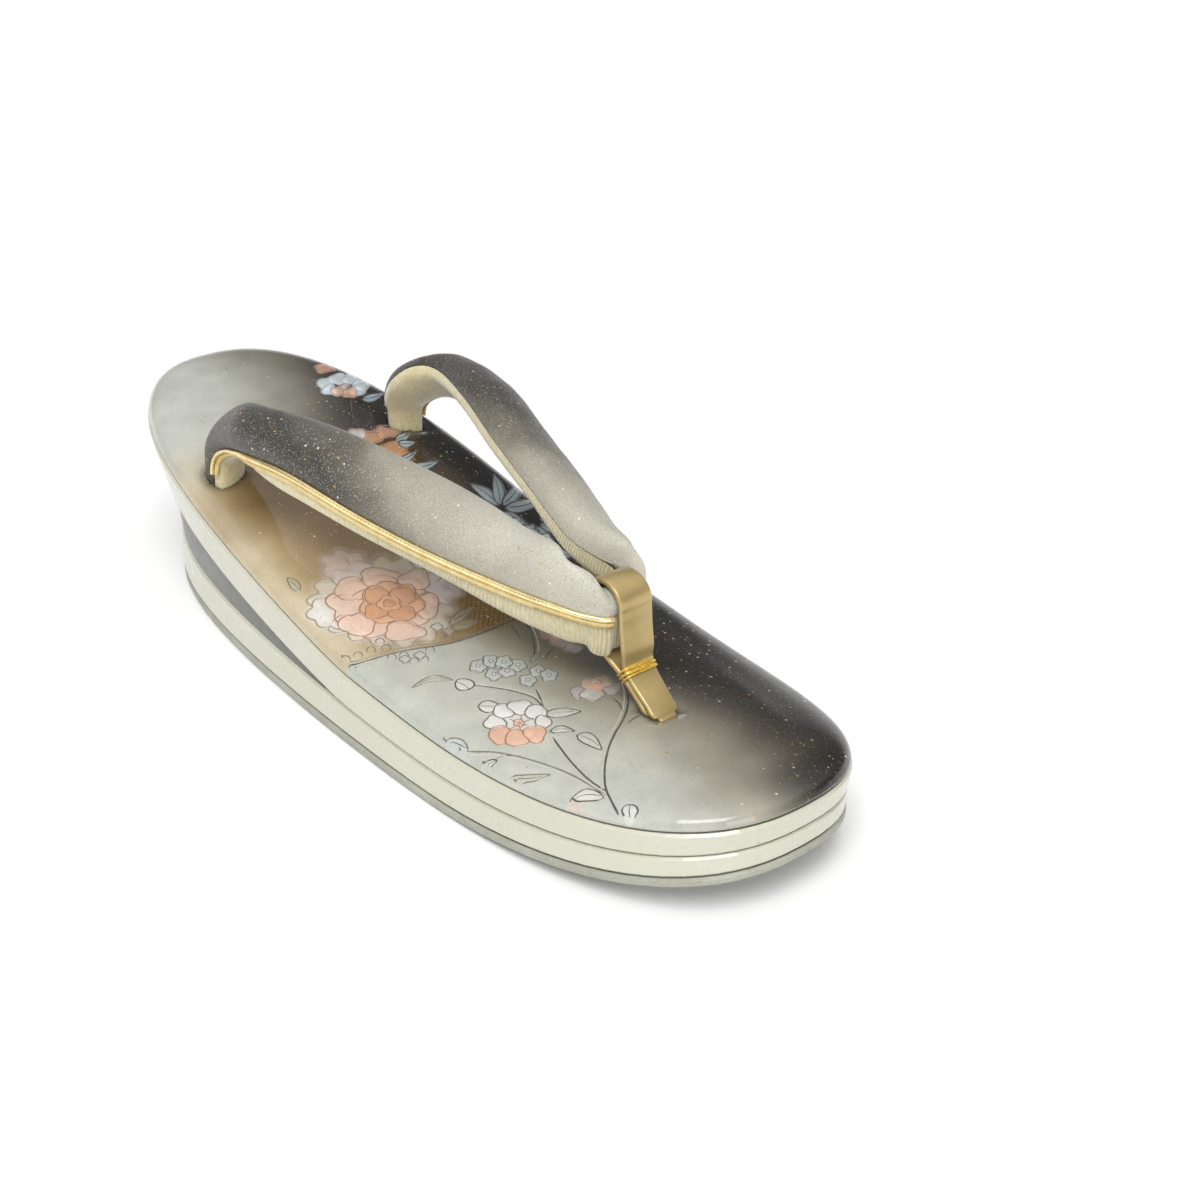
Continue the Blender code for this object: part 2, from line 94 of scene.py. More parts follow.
HOLD_SINK, HOLD_DRAW, HOLD_Y, HOLD_REACH = 0.0020, 0.0034, -0.0585, 0.0095

# Footbed mesh
SLOT_CLEARANCE, HOLE_CLEARANCE, LINE_CLEARANCE = 0.00012, 0.00015, 0.0008
ROW_STEP, SNAP_REACH = 0.00053, 0.00055
GROOVE_DEPTH, DENT_DEPTH, WALL_DROP = 0.00010, 0.0007, 0.004

# Toe post and thread
BAND_WIDTH, HOLE_WIDTH = 0.0092, 0.0076
POST_END = 0.66
POST_SHIFT = -0.0006
POST_PLY, BAND_PLY, POST_SLIT = 0.0014, 0.0013, 0.0004
POST_NECK_FORWARD, POST_NECK_RISE = 0.564, 0.0138
POST_HOLE_FORWARD, POST_SEAT = 0.629, 0.0050
LOOP_START, LOOP_END = 250, -12
LOOP_BACK_SHARE, LOOP_POWER, LOOP_POINTS = 0.20, 0.8, 20
THREAD_RADIUS, THREAD_TURNS = 0.00024, 5

# Camera
FRAME_PIXELS, FOCAL_PIXELS = 1200, 1748.36
CAMERA_AZIMUTH, CAMERA_ELEVATION, CAMERA_ROLL = -41.48, 28.12, 1.21
CAMERA_PLACE = Vector((-0.228785, -0.312804, 0.227574))


def camera_axes():
    azimuth, elevation, roll = (math.radians(value) for value in
                                (CAMERA_AZIMUTH, CAMERA_ELEVATION, CAMERA_ROLL))
    right = Vector((math.cos(azimuth), math.sin(azimuth), 0.0))
    back = Vector((math.sin(azimuth) * math.cos(elevation),
                   -math.cos(azimuth) * math.cos(elevation), math.sin(elevation)))
    up = back.cross(right)
    return (right * math.cos(roll) + up * math.sin(roll),
            up * math.cos(roll) - right * math.sin(roll), back)


def add_camera():
    data = bpy.data.cameras.new("camera")
    data.sensor_width = 36.0
    data.lens = FOCAL_PIXELS / FRAME_PIXELS * data.sensor_width
    camera = bpy.data.objects.new("camera", data)
    bpy.context.scene.collection.objects.link(camera)
    matrix = Matrix(camera_axes()).transposed().to_4x4()
    matrix.translation = CAMERA_PLACE
    camera.matrix_world = matrix
    bpy.context.scene.camera = camera


# Sole surfaces

def along(y):
    return np.clip((y + HALF_LENGTH) / LENGTH, 0.0, 1.0)


def upper_top(y):
    start = -HALF_LENGTH + SPRING_SHARE * LENGTH
    foot = TOE_SPRING * (np.maximum(start - y, 0.0) / (start + HALF_LENGTH)) ** 2
    start = -HALF_LENGTH + WEDGE_START_SHARE * LENGTH
    reach = np.maximum(y - start, 0.0) / (HALF_LENGTH - start)
    wedge = WEDGE_HEIGHT * (1 + WEDGE_EASE) * reach ** 2 / (reach + WEDGE_EASE)
    lower = LOWER_TOE + (LOWER_HEEL - LOWER_TOE) * along(y)
    upper = UPPER_TOE + (UPPER_HEEL - UPPER_TOE) * along(y)
    return foot + OUTSOLE_THICKNESS + lower + wedge + upper


def half_width(theta):
    base, first, second, third = OUTLINE_WAVES
    wave = (base + first * np.cos(theta) + second * np.cos(2 * theta)
            + third * np.cos(3 * theta))
    return HALF_WIDTH * np.maximum(np.sin(theta), 0.0) ** TIP_FULLNESS * wave


def rim(theta, inset):
    """The outline's +X side, drawn in by inset."""
    step = 1e-3
    low = np.maximum(theta - step, 0.0)
    high = np.minimum(theta + step, math.pi)
    run_x = half_width(high) - half_width(low)
    run_y = -HALF_LENGTH * (np.cos(high) - np.cos(low))
    run = np.hypot(run_x, run_y)
    x = half_width(theta) - run_y / run * inset
    y = -HALF_LENGTH * np.cos(theta) + run_x / run * inset
    return np.maximum(x, 0.0), y


def swing(y):
    return -SIDE_SWING * np.sin(2 * math.pi * along(y))


def tree_of(points):
    tree = kdtree.KDTree(len(points))
    for index, point in enumerate(points):
        tree.insert((point[0], point[1], 0.0), index)
    tree.balance()
    return tree


def rim_tree():
    x, y = rim(np.linspace(0.002, math.pi - 0.002, 2400), CROWN_RIM_INSET)
    points = list(zip(x + swing(y), y)) + list(zip(-x + swing(y), y))
    return tree_of(points)


RIM = rim_tree()
RIM_LEVELS = rim(np.linspace(0.002, math.pi - 0.002, 1200), CROWN_RIM_INSET)[::-1]


def crown_curve():
    """Smooth rising curve through the crown's rows, over the root of the inset."""
    knots = np.sqrt(np.array(CROWN_INSETS) * 1000)
    values = np.array(CROWN_SHARES)
    secants = np.diff(values) / np.diff(knots)
    slopes = np.concatenate(([secants[0]], 2 * secants[1:] * secants[:-1]
                             / (secants[1:] + secants[:-1]), [secants[-1]]))
    return knots, values, slopes


KNOTS, VALUES, SLOPES = crown_curve()


def crown(inset):
    root = np.sqrt(np.maximum(inset, 0.0) * 1000)
    root = np.clip(root, KNOTS[0], KNOTS[-1] - 1e-9)
    index = np.clip(np.searchsorted(KNOTS, root, side="right") - 1, 0, len(KNOTS) - 2)
    step = KNOTS[index + 1] - KNOTS[index]
    share = (root - KNOTS[index]) / step
    return ((2 * share ** 3 - 3 * share ** 2 + 1) * VALUES[index]
            + (share ** 3 - 2 * share ** 2 + share) * step * SLOPES[index]
            + (3 * share ** 2 - 2 * share ** 3) * VALUES[index + 1]
            + (share ** 3 - share ** 2) * step * SLOPES[index + 1])


def rim_distance(x, y):
    return np.array([RIM.find((a, b, 0.0))[2] for a, b in zip(x, y)])


def within(x, y):
    """True where a point lies inside the footbed's outline."""
    level, half = RIM_LEVELS
    return np.abs(x - swing(y)) < np.interp(y, level, half, 0.0, 0.0)


def surface(x, y):
    """Height of the footbed's top before its relief."""
    return upper_top(y) + CROWN_HEIGHT * crown(rim_distance(x, y))


def on_footbed(u, v):
    """The footbed's point (x, y) seen at a picture point."""
    right, up, back = camera_axes()
    centre = FRAME_PIXELS / 2
    ray = (right * (u - centre) - up * (v - centre) - back * FOCAL_PIXELS).normalized()
    reach = 0.40
    for _ in range(7):
        point = CAMERA_PLACE + ray * reach
        y = min(max(point.y, -HALF_LENGTH), HALF_LENGTH)
        inset = RIM.find((point.x, y, 0.0))[2]
        height = float(upper_top(y)) + CROWN_HEIGHT * float(crown(inset))
        reach += (height - point.z) / ray.z * 0.9
    return point.x, point.y


# Curves

def smooth_between(before, start, end, after, share):
    square = share * share
    cube = square * share
    return 0.5 * (2 * start + (end - before) * share
                  + (2 * before - 5 * start + 4 * end - after) * square
                  + (3 * start - before - 3 * end + after) * cube)


def smooth_path(points, steps):
    """Points along a smooth curve through the given ones."""
    last = len(points) - 1
    path = []
    for index in range(last):
        around = (points[max(index - 1, 0)], points[index], points[index + 1],
                  points[min(index + 2, last)])
        path += [smooth_between(*around, step / steps) for step in range(steps)]
    return path + [points[last]]


def smooth(low, high, value):
    share = np.clip((value - low) / (high - low), 0.0, 1.0)
    return share * share * (3 - 2 * share)


def beside(plan):
    """Unit steps to the left of a plan line, at each of its points."""
    run = np.gradient(plan, axis=0)
    side = np.stack((-run[:, 1], run[:, 0]), axis=1)
    return side / np.maximum(np.linalg.norm(side, axis=1, keepdims=True), 1e-9)


def lobed(u, v, wide, tall, lobes, depth, turn=0.0):
    """A closed outline with round lobes, such as a flower's edge."""
    result = []
    count = max(lobes * 8, 40)
    for index in range(count):
        angle = 2 * math.pi * index / count
        reach = 1 - depth + depth * abs(math.cos(lobes * (angle - turn) / 2))
        reach *= 1 + 0.05 * math.sin(3 * angle + 2 * turn + lobes)
        result.append((u + wide * reach * math.cos(angle), v + tall * reach * math.sin(angle)))
    return result


def leaf(u0, v0, u1, v1, width, bend=0.0):
    """Outline and midrib of a leaf from its base to its tip."""
    run = np.array((u1 - u0, v1 - v0), float)
    side = np.array((-run[1], run[0])) / np.linalg.norm(run)
    left, right, rib = [], [], []
    for index in range(11):
        share = index / 10
        middle = np.array((u0, v0)) + run * share + side * bend * math.sin(math.pi * share)
        half = width / 2 * math.sin(math.pi * share ** 0.75) ** 0.85 if 0 < share < 1 else 0.0
        left.append(tuple(middle + side * half))
        right.append(tuple(middle - side * half))
        if 1 <= index <= 8:
            rib.append(tuple(middle))
    return left + right[-2:0:-1], rib


# Ornament: places in picture points, soft edges, rises and line widths in millimetres

CURVE_STEPS = 5
FILLS = []      # plan outline, colour, strength, softness, rise
STROKES = []    # plan line, ink colour, width, number of fills that lie under it

INK = (0.27, 0.26, 0.23)
SOFT_INK = (0.44, 0.43, 0.39)
PALE_INK = (0.74, 0.73, 0.68)
BLOOM_INK = (0.62, 0.47, 0.38)
BLACK_INK = (0.06, 0.06, 0.06)
PETAL_INK = (0.58, 0.55, 0.49)
LIGHT = (0.87, 0.87, 0.83)
WHITE = (0.86, 0.85, 0.84)
LILAC = (0.80, 0.76, 0.80)
PINK = (0.88, 0.74, 0.67)
PEACH = (0.84, 0.64, 0.49)
SALMON = (0.87, 0.67, 0.57)
DEEP_PEACH = (0.74, 0.51, 0.36)
MIST = (0.73, 0.76, 0.76)
BLUE_WHITE = (0.82, 0.86, 0.88)
BLUE_GREY = (0.60, 0.66, 0.69)
SAGE = (0.68, 0.68, 0.58)
# Painted shadow colours: brown at the near strap's foot, tan under its arm.
STRAP_FOOT_SHADOW = (0.41, 0.32, 0.18)
UNDER_STRAP_SHADE = (0.60, 0.48, 0.30)


def to_plan(points):
    return np.array([on_footbed(u, v) for u, v in points])


def fill(outline, colour, strength, soft, rise=0.16, ink=None, width=0.40):
    plan = to_plan(outline)
    if ink:
        STROKES.append((np.vstack((plan, plan[:1])), ink, width / 1000, len(FILLS) + 1))
    FILLS.append((plan, colour, strength, soft / 1000, rise / 1000))


def line(points, ink, width, twin=0.0, twin_ink=PALE_INK):
    """A stroke, where asked with a thinner twin beside it."""
    plan = to_plan(smooth_path([np.array(point, float) for point in points], CURVE_STEPS))
    STROKES.append((plan, ink, width / 1000, len(FILLS)))
    if twin:
        STROKES.append((plan + beside(plan) * twin / 1000, twin_ink, width * 0.7 / 1000,
                        len(FILLS)))


def blooms(rows, *paint):
    """Lobed spots; a row gives place, size, lobes, depth and turn, and may end with its paint."""
    for u, v, wide, tall, lobes, depth, turn, *own in rows:
        fill(lobed(u, v, wide, tall, lobes, depth, turn), *own, *paint)


def peony():
    blooms(((386, 601, 76, 47, 17, 0.15, 0.2, WHITE, 0.66, 3.0),
            (345, 566, 27, 19, 7, 0.22, 0.9, LILAC, 0.75, 2.2),
            (332, 612, 25, 18, 7, 0.22, 2.1, WHITE, 0.74, 2.2),
            (443, 588, 22, 19, 7, 0.22, 0.3, LILAC, 0.62, 2.2)), 0.22, PETAL_INK)
    blooms(((424, 560, 15, 10, 3, 0.20, 0.3),), MIST, 0.50, 1.2, 0.18, SOFT_INK)
    blooms(((382, 606, 55, 33, 9, 0.16, 0.5),), PINK, 0.78, 2.4, 0.22, BLOOM_INK)
    blooms([(*spot, 3, 0.22, turn) for *spot, turn in (
        (352, 590, 19, 13, 0.4), (358, 625, 20, 12, 1.3), (404, 632, 22, 10, 2.2),
        (425, 606, 16, 14, 3.1), (380, 578, 22, 11, 0.0), (415, 580, 17, 11, 0.8))],
           PINK, 0.45, 1.4, 0.20, BLOOM_INK, 0.34)
    blooms(((391, 604, 33, 21, 7, 0.14, 0.1),), PEACH, 0.85, 2.0, 0.22, BLOOM_INK)
    blooms([(*spot, 3, 0.22, turn) for *spot, turn in (
        (376, 596, 13, 10, 0.2), (404, 595, 14, 10, 1.1), (376, 613, 13, 8, 2.0),
        (402, 614, 15, 8, 2.9))], DEEP_PEACH, 0.45, 1.4, 0.18, BLOOM_INK, 0.34)
    blooms(((389, 605, 13, 8.5, 5, 0.20, 0.6, PEACH, 0.8, 1.0, 0.20, BLOOM_INK, 0.34),
            (389, 605, 6.5, 4.2, 3, 0.20, 0.1, DEEP_PEACH, 0.7, 0.8, 0.14, BLOOM_INK, 0.30)))
    for u0, v0, u1, v1 in ((352, 597, 370, 590), (350, 618, 367, 612), (392, 578, 399, 588),
                           (418, 600, 430, 594), (405, 622, 420, 628), (333, 600, 346, 596),
                           (332, 622, 345, 616), (438, 582, 447, 573), (341, 556, 350, 566)):
        line([(u0, v0), ((u0 + u1) / 2 + 1, (v0 + v1) / 2 - 2), (u1, v1)], BLOOM_INK, 0.30)
    for row in ((449, 624, 474, 607, 9), (452, 627, 478, 622, 8), (300, 590, 287, 577, 9),
                (311, 640, 298, 648, 8), (437, 556, 452, 560, 7)):
        outline, rib = leaf(*row)
        fill(outline, SAGE, 0.6, 0.8, 0.16, SOFT_INK, 0.34)
        line(rib, SOFT_INK, 0.26)


def fringe():
    """Double line across the footbed, with curls along it; the line comes back."""
    line([(343, 668), (368, 660.5), (400.6, 651.4), (440.7, 645), (467.5, 638), (489, 630),
          (507.7, 622), (531.8, 612), (560, 599)], INK, 0.46, 0.9, SOFT_INK)
    divide = STROKES[-2][0]
    for u, v, turn in ((346, 659, 1), (358, 655, -1), (371, 650, 1), (386, 648, 1),
                       (404, 655, -1), (414, 661, 1), (424, 659, -1), (430, 650, 1),
                       (392, 657, -1), (441, 633, 1), (449, 637, -1), (380, 642, 1)):
        line([(u + turn * 4.5 * math.cos(a), v - 3.4 * math.sin(a))
              for a in np.linspace(-0.6, 3.9, 7)], SOFT_INK, 0.32)
    blooms([(u, v, 6, 4, 4, 0.3, 0.0) for u, v in ((405, 659), (420, 655), (437, 627), (449, 631))],
           MIST, 0.4, 0.6, 0.16, SOFT_INK, 0.30)
    return divide


def front_sprays():
    for points, *pen in (
            (((619, 815), (611, 800), (605.5, 786.7), (604.7, 767.9), (608.2, 749),
              (614.9, 733), (622.9, 719.7), (627.5, 706), (628.3, 693), (626, 683)),
             INK, 0.55, 0.9),
            (((605.5, 790.7), (588, 778.6), (572, 762.5), (561.3, 749), (552.7, 737)),
             INK, 0.50, 0.8),
            (((605.5, 794.7), (574.7, 776), (548, 765), (521, 757), (494, 751.8),
              (467.5, 751.8)), SOFT_INK, 0.45, 0.7),
            (((521, 755.8), (502.4, 756), (489, 764), (479.6, 769)), SOFT_INK, 0.40),
            (((473, 685), (494, 687.5), (515.8, 691.5), (534.5, 698), (544, 709)),
             INK, 0.42, 0.6),
            (((535.8, 689), (541, 699.6), (544, 710)), INK, 0.42),
            (((628, 722.4), (637, 716), (647, 713)), INK, 0.42),
            (((612, 697), (619, 703), (623, 711)), INK, 0.42),
            (((522.4, 618), (530.5, 631), (534.5, 644.7), (534, 658)), INK, 0.50, 0.9),
            (((553.3, 648.7), (549, 652), (545, 658)), INK, 0.42),
            (((511, 625), (516, 631), (520, 637)), INK, 0.36)):
        line(points, *pen)
    for *row, colour, strength in (
            (453, 680, 411, 688, 6, 5, SAGE, 0.35), (478, 706, 503, 707, 12, 0, LIGHT, 0.5),
            (545, 714, 581, 711, 9, 0, LIGHT, 0.4), (550, 731, 575, 731, 7, -2, LIGHT, 0.3),
            (577, 735, 602, 750, 12, -3, LIGHT, 0.35), (468, 750, 443, 741, 12, 2, MIST, 0.6),
            (506, 779, 551, 774, 8, 2, SAGE, 0.5), (604, 797, 568, 803, 12, 5, LIGHT, 0.45),
            (497, 760, 480, 768, 6, 0, LIGHT, 0.4), (530, 662, 541, 651, 5, 0, MIST, 0.4)):
        outline, rib = leaf(*row)
        fill(outline, colour, strength, 0.7, 0.20, INK if colour is LIGHT else SOFT_INK, 0.36)
        line(rib, SOFT_INK, 0.24)
    blooms(((464.3, 684.3, 9.6, 6.2, 2, 0.06, 0.0),), LIGHT, 0.5, 0.7, 0.22, INK, 0.38)
    line([(456, 682), (462, 684), (470, 689)], SOFT_INK, 0.26)
    for u, v in ((478, 666), (491, 661), (494, 674), (507, 671), (518, 665), (528, 680),
                 (538, 671), (549, 675), (504, 662)):
        blooms(((u, v, 9.2, 6.8, 5, 0.24, u * 0.1, MIST, 0.62, 0.7, 0.22, SOFT_INK, 0.36),
                (u, v, 2.4, 1.8, 3, 0.2, 0.0, WHITE, 0.7, 0.5, 0.14, SOFT_INK, 0.28)))
    blooms(((518, 723, 24, 15, 5, 0.15, 0.0),), WHITE, 0.7, 1.2, 0.12)
    blooms([(u, *size, 3, 0.2, u * 0.2) for u, *size in (
        (495, 722, 12, 8), (504, 711, 12, 8), (520, 707, 13, 8), (536, 712, 12, 8),
        (543, 722, 9, 7))], WHITE, 0.85, 0.7, 0.24, SOFT_INK, 0.38)
    blooms([(u, *size, 3, 0.2, u * 0.3) for u, *size in (
        (500, 735, 12, 10), (517, 738, 13, 9), (535, 734, 12, 9))],
           SALMON, 0.80, 0.8, 0.24, BLOOM_INK, 0.36)
    blooms(((519, 723, 6, 4.4, 5, 0.25, 0.0),), PINK, 0.8, 0.6, 0.18, BLOOM_INK, 0.30)
    for u, v in ((509, 729), (521, 731), (529, 725), (508, 717), (522, 714), (533, 718)):
        line([(519, 723), ((519 + u) / 2, (723 + v) / 2 + 1), (u, v)], BLOOM_INK, 0.26)
    blooms([(u, *size, 4, 0.2, u, colour) for u, *size, colour in (
        (580, 692, 11, 7, LILAC), (592, 694, 13, 7, WHITE), (612, 688, 10, 6, LILAC),
        (602, 682, 12, 7, PINK), (590, 684, 11, 6, PINK), (562, 641, 14, 7, LILAC),
        (549, 634, 12, 6, PINK), (573, 648, 10, 5, LILAC))], 0.50, 1.1, 0.18, SOFT_INK, 0.28)
    blooms(((597, 687, 8, 5, 4, 0.2, 0.0, SALMON, 0.7, 1.4, 0.12),
            (555, 638, 6, 4, 4, 0.2, 0.0, SALMON, 0.5, 1.4, 0.12),
            (630, 811, 8.5, 7.5, 3, 0.22, 1.57, LIGHT, 0.5, 0.6, 0.22, INK, 0.38)))
    line([(630, 805), (629, 811), (630.5, 817)], INK, 0.30)
    blooms(((576, 806, 7, 3.5, 3, 0.2, 0.0),), SALMON, 0.25, 0.8, 0.12)


def rear_flowers():
    # Painted shadow on the footbed: brown at the near strap's foot, tan under its arm.
    blooms(((252, 505, 40, 24, 3, 0.1, 0.0, STRAP_FOOT_SHADOW, 0.60, 14),
            (330, 560, 60, 26, 3, 0.1, 0.0, UNDER_STRAP_SHADE, 0.34, 18)), 0.0)
    blooms([(u, *size, 3, 0.2, u * 0.3) for u, *size in (
        (326, 384, 9, 7), (338, 379, 10, 6), (351, 379, 9, 6), (361, 385, 9, 6),
        (330, 390, 9, 5), (357, 391, 9, 5))], BLUE_WHITE, 0.85, 0.8, 0.22, BLUE_GREY, 0.34)
    blooms([(u, *size, 4, 0.2, u * 0.2, colour) for u, *size, colour in (
        (339, 391, 9, 5, PINK), (350, 393, 8, 5, SALMON), (324, 368, 10, 5, SALMON),
        (345, 386, 5, 3, WHITE), (372, 437, 12, 7, PEACH), (388, 431, 13, 7, SALMON),
        (357, 434, 10, 6, WHITE), (350, 444, 9, 6, PINK), (393, 449, 15, 8, PEACH),
        (381, 455, 12, 6, PINK), (404, 457, 11, 6, PEACH))], 0.75, 1.2, 0.20, BLOOM_INK, 0.30)
    leaves = ((362, 399, 384, 393, 8), (395, 440, 412, 430, 9), (398, 443, 416, 442, 8),
              (404, 470, 440, 461, 10), (412, 476, 437, 478, 8), (398, 462, 418, 450, 7),
              (500, 505, 470, 484, 11), (500, 505, 494, 474, 12), (503, 505, 522, 482, 12),
              (505, 508, 543, 500, 12), (503, 512, 531, 528, 12), (498, 510, 462, 505, 12),
              (496, 512, 476, 530, 12), (540, 520, 560, 506, 10), (540, 524, 566, 528, 10),
              (536, 527, 556, 545, 10), (455, 492, 440, 486, 8), (545, 548, 575, 556, 10),
              (548, 553, 566, 572, 9), (600, 520, 625, 514, 10), (600, 524, 626, 530, 10),
              (597, 518, 604, 500, 9))
    for u0, v0, u1, v1, width in leaves:
        outline, rib = leaf(u0, v0, u1, v1, width, 1.5)
        fill(outline, BLUE_GREY, 0.9, 0.6, 0.22, BLACK_INK, 0.42)
        middle_u, middle_v = (u0 + u1) / 2, (v0 + v1) / 2
        fill([((u + middle_u) / 2, (v + middle_v) / 2) for u, v in outline],
             BLUE_WHITE, 0.34, 2.0, 0.0)
        line(rib, BLACK_INK, 0.28)
    for u, *size in ((515, 540, 12, 8), (529, 548, 12, 8), (519, 553, 11, 7), (514, 524, 11, 7),
                     (528, 531, 11, 7), (543, 540, 11, 7), (486, 514, 10, 6)):
        blooms(((u, *size, 5, 0.25, u, BLUE_WHITE, 0.7, 0.9, 0.22, BLACK_INK, 0.34),
                (u, size[0], 2.6, 1.8, 3, 0.2, 0.0, BLUE_GREY, 0.7, 0.6, 0.10, BLACK_INK, 0.26)))
    for points in (((497, 508), (470, 498), (440, 482), (415, 472)),
                   ((505, 510), (530, 530), (550, 550), (572, 580)),
                   ((350, 398), (352, 415), (356, 428)), ((375, 462), (396, 470), (425, 488))):
        line(points, BLACK_INK, 0.40)


# Footbed

def blend(first, second, share):
    share = np.asarray(share)[..., None]
    return np.asarray(first) * (1 - share) + np.asarray(second) * share


def signed_distance(plan, x, y):
    """Distance to a closed outline, positive inside."""
    start, end = plan, np.roll(plan, -1, axis=0)
    px, py = x[:, None], y[:, None]
    run = end - start
    length = np.maximum((run ** 2).sum(axis=1), 1e-14)
    share = np.clip(((px - start[:, 0]) * run[:, 0] + (py - start[:, 1]) * run[:, 1]) / length,
                    0.0, 1.0)
    distance = np.sqrt(((px - start[:, 0] - share * run[:, 0]) ** 2
                        + (py - start[:, 1] - share * run[:, 1]) ** 2).min(axis=1))
    crossing = ((start[:, 1] > py) != (end[:, 1] > py)) & (
        px < start[:, 0] + (py - start[:, 1]) * run[:, 0]
        / np.where(np.abs(run[:, 1]) < 1e-12, 1e-12, run[:, 1]))
    inside = crossing.sum(axis=1) % 2 == 1
    return np.where(inside, distance, -distance)


def ground(x, y, inset, divide):
    """Airbrushed ground colour of the footbed, whose fields meet along the divide."""
    mm_x, mm_y = x * 1000, y * 1000
    silver = np.array((0.715, 0.722, 0.685))
    warm = np.array((0.575, 0.555, 0.495))
    dark = np.array((0.135, 0.115, 0.095))
    black = np.array((0.08, 0.07, 0.062))
    tan = np.array((0.64, 0.56, 0.43))
    gold_brown = np.array((0.50, 0.40, 0.24))
    umber = np.array((0.25, 0.18, 0.10))
    wave = 2.5 * np.sin(mm_y * 0.05) + 1.5 * np.sin(mm_y * 0.11 + 1)
    # front field: pale beside the lateral edge, dark along the medial one
    turn = mm_x + wave + 0.16 * (mm_y + 60) + 9 * smooth(-88, -112, mm_y)
    front = blend(silver, warm, smooth(-26, -2, turn))
    front = blend(front, dark, smooth(-8, 18, turn) * smooth(-123, -90, mm_y + 0.25 * mm_x) * 0.96)
    medial = smooth(17, 2, inset * 1000) * smooth(-14, 6, mm_x + 0.05 * mm_y + 5)
    front = blend(front, black, medial * 0.85)
    # middle field
    turn = mm_x + wave
    middle = blend(tan, gold_brown, smooth(-34, -12, turn))
    middle = blend(middle, umber, smooth(-10, 10, turn))
    middle = blend(middle, black, smooth(21, 37, turn))
    edge = smooth(13, 2, inset * 1000) * smooth(-10, -25, mm_x)
    middle = blend(middle, np.array((0.80, 0.76, 0.66)), edge * 0.7)
    # heel field
    turn = mm_x - 0.35 * (mm_y - 90) + wave
    heel = blend(silver, np.array((0.46, 0.445, 0.395)), smooth(-22, 12, turn))
    heel = blend(heel, dark, smooth(4, 28, turn))
    divide = divide * 1000
    order = np.argsort(divide[:, 0])
    boundary = mm_y - np.interp(mm_x, divide[order, 0], divide[order, 1])
    boundary = boundary + 0.25 * np.maximum(mm_x - divide[:, 0].max(), 0)
    colour = blend(front, middle, smooth(-0.3, 0.6, boundary))
    boundary = mm_y - 66 + 0.25 * (mm_x + 20) + wave
    return blend(colour, heel, smooth(-9, 12, boundary))


def weave_share(x, y):
    """Where the ground carries its basket weave, in soft patches."""
    share = np.zeros(len(x))
    for u, v, wide, tall, strength in ((493, 611, 42, 20, 1.0), (380, 556, 34, 22, 0.5),
                                       (330, 540, 40, 20, 0.4), (430, 500, 34, 20, 0.6)):
        plan = to_plan(lobed(u, v, wide, tall, 3, 0.1))
        centre = plan.mean(axis=0)
        where = np.where(np.hypot(x - centre[0], y - centre[1]) < 0.045)[0]
        mask = smooth(-0.002, 0.004, signed_distance(plan, x[where], y[where]))
        share[where] = np.maximum(share[where], mask * strength)
    return share


def slot_outline(frame_row, side, clearance):
    middle, across, normal, half, pad, lining = frame_row
    wide = half + clearance
    outline = dome(wide, pad + clearance, PAD_POWER)
    outline += [(-x, -up - GAP) for x, up in dome(wide, lining + clearance, LINING_POWER)]
    points = []
    for x, up in outline:
        point = middle + across * x + normal * up
        point = leaned(Vector((-side * point.x, point.y, 0.0)))
        points.append((point.x, point.y))
    return densify(points)


def post_outline(clearance):
    neck, hole, down = post_axis()
    half_x = HOLE_WIDTH * POST_END / 2 + clearance
    half_y = (POST_PLY + POST_SLIT / 2 + clearance) / abs(down.z)
    corners = [(-half_x, -half_y), (half_x, -half_y), (half_x, half_y), (-half_x, half_y)]
    return densify([(hole.x + x, hole.y + y) for x, y in corners])


def densify(points, step=0.00012):
    result = []
    for index, point in enumerate(points):
        after = points[(index + 1) % len(points)]
        count = max(int(math.dist(point, after) / step), 1)
        for part in range(count):
            share = part / count
            result.append((point[0] + (after[0] - point[0]) * share,
                           point[1] + (after[1] - point[1]) * share))
    return result


def footbed_rows():
    """Positions round the outline whose rows lie about half a millimetre apart."""
    theta = np.linspace(0.012, math.pi - 0.012, 6000)
    density = np.maximum(HALF_LENGTH * np.sin(theta) / ROW_STEP, 55)
    total = np.concatenate(([0.0], np.cumsum((density[1:] + density[:-1]) / 2
                                             * np.diff(theta))))
    return np.interp(np.linspace(0, total[-1], int(total[-1])), total, theta)


def footbed_columns():
    shares = np.linspace(-0.974, 0.974, 152)
    ends = np.array((0.980, 0.985, 0.989, 0.993, 0.9965, 1.0))
    return np.concatenate((-ends[::-1], shares, ends))


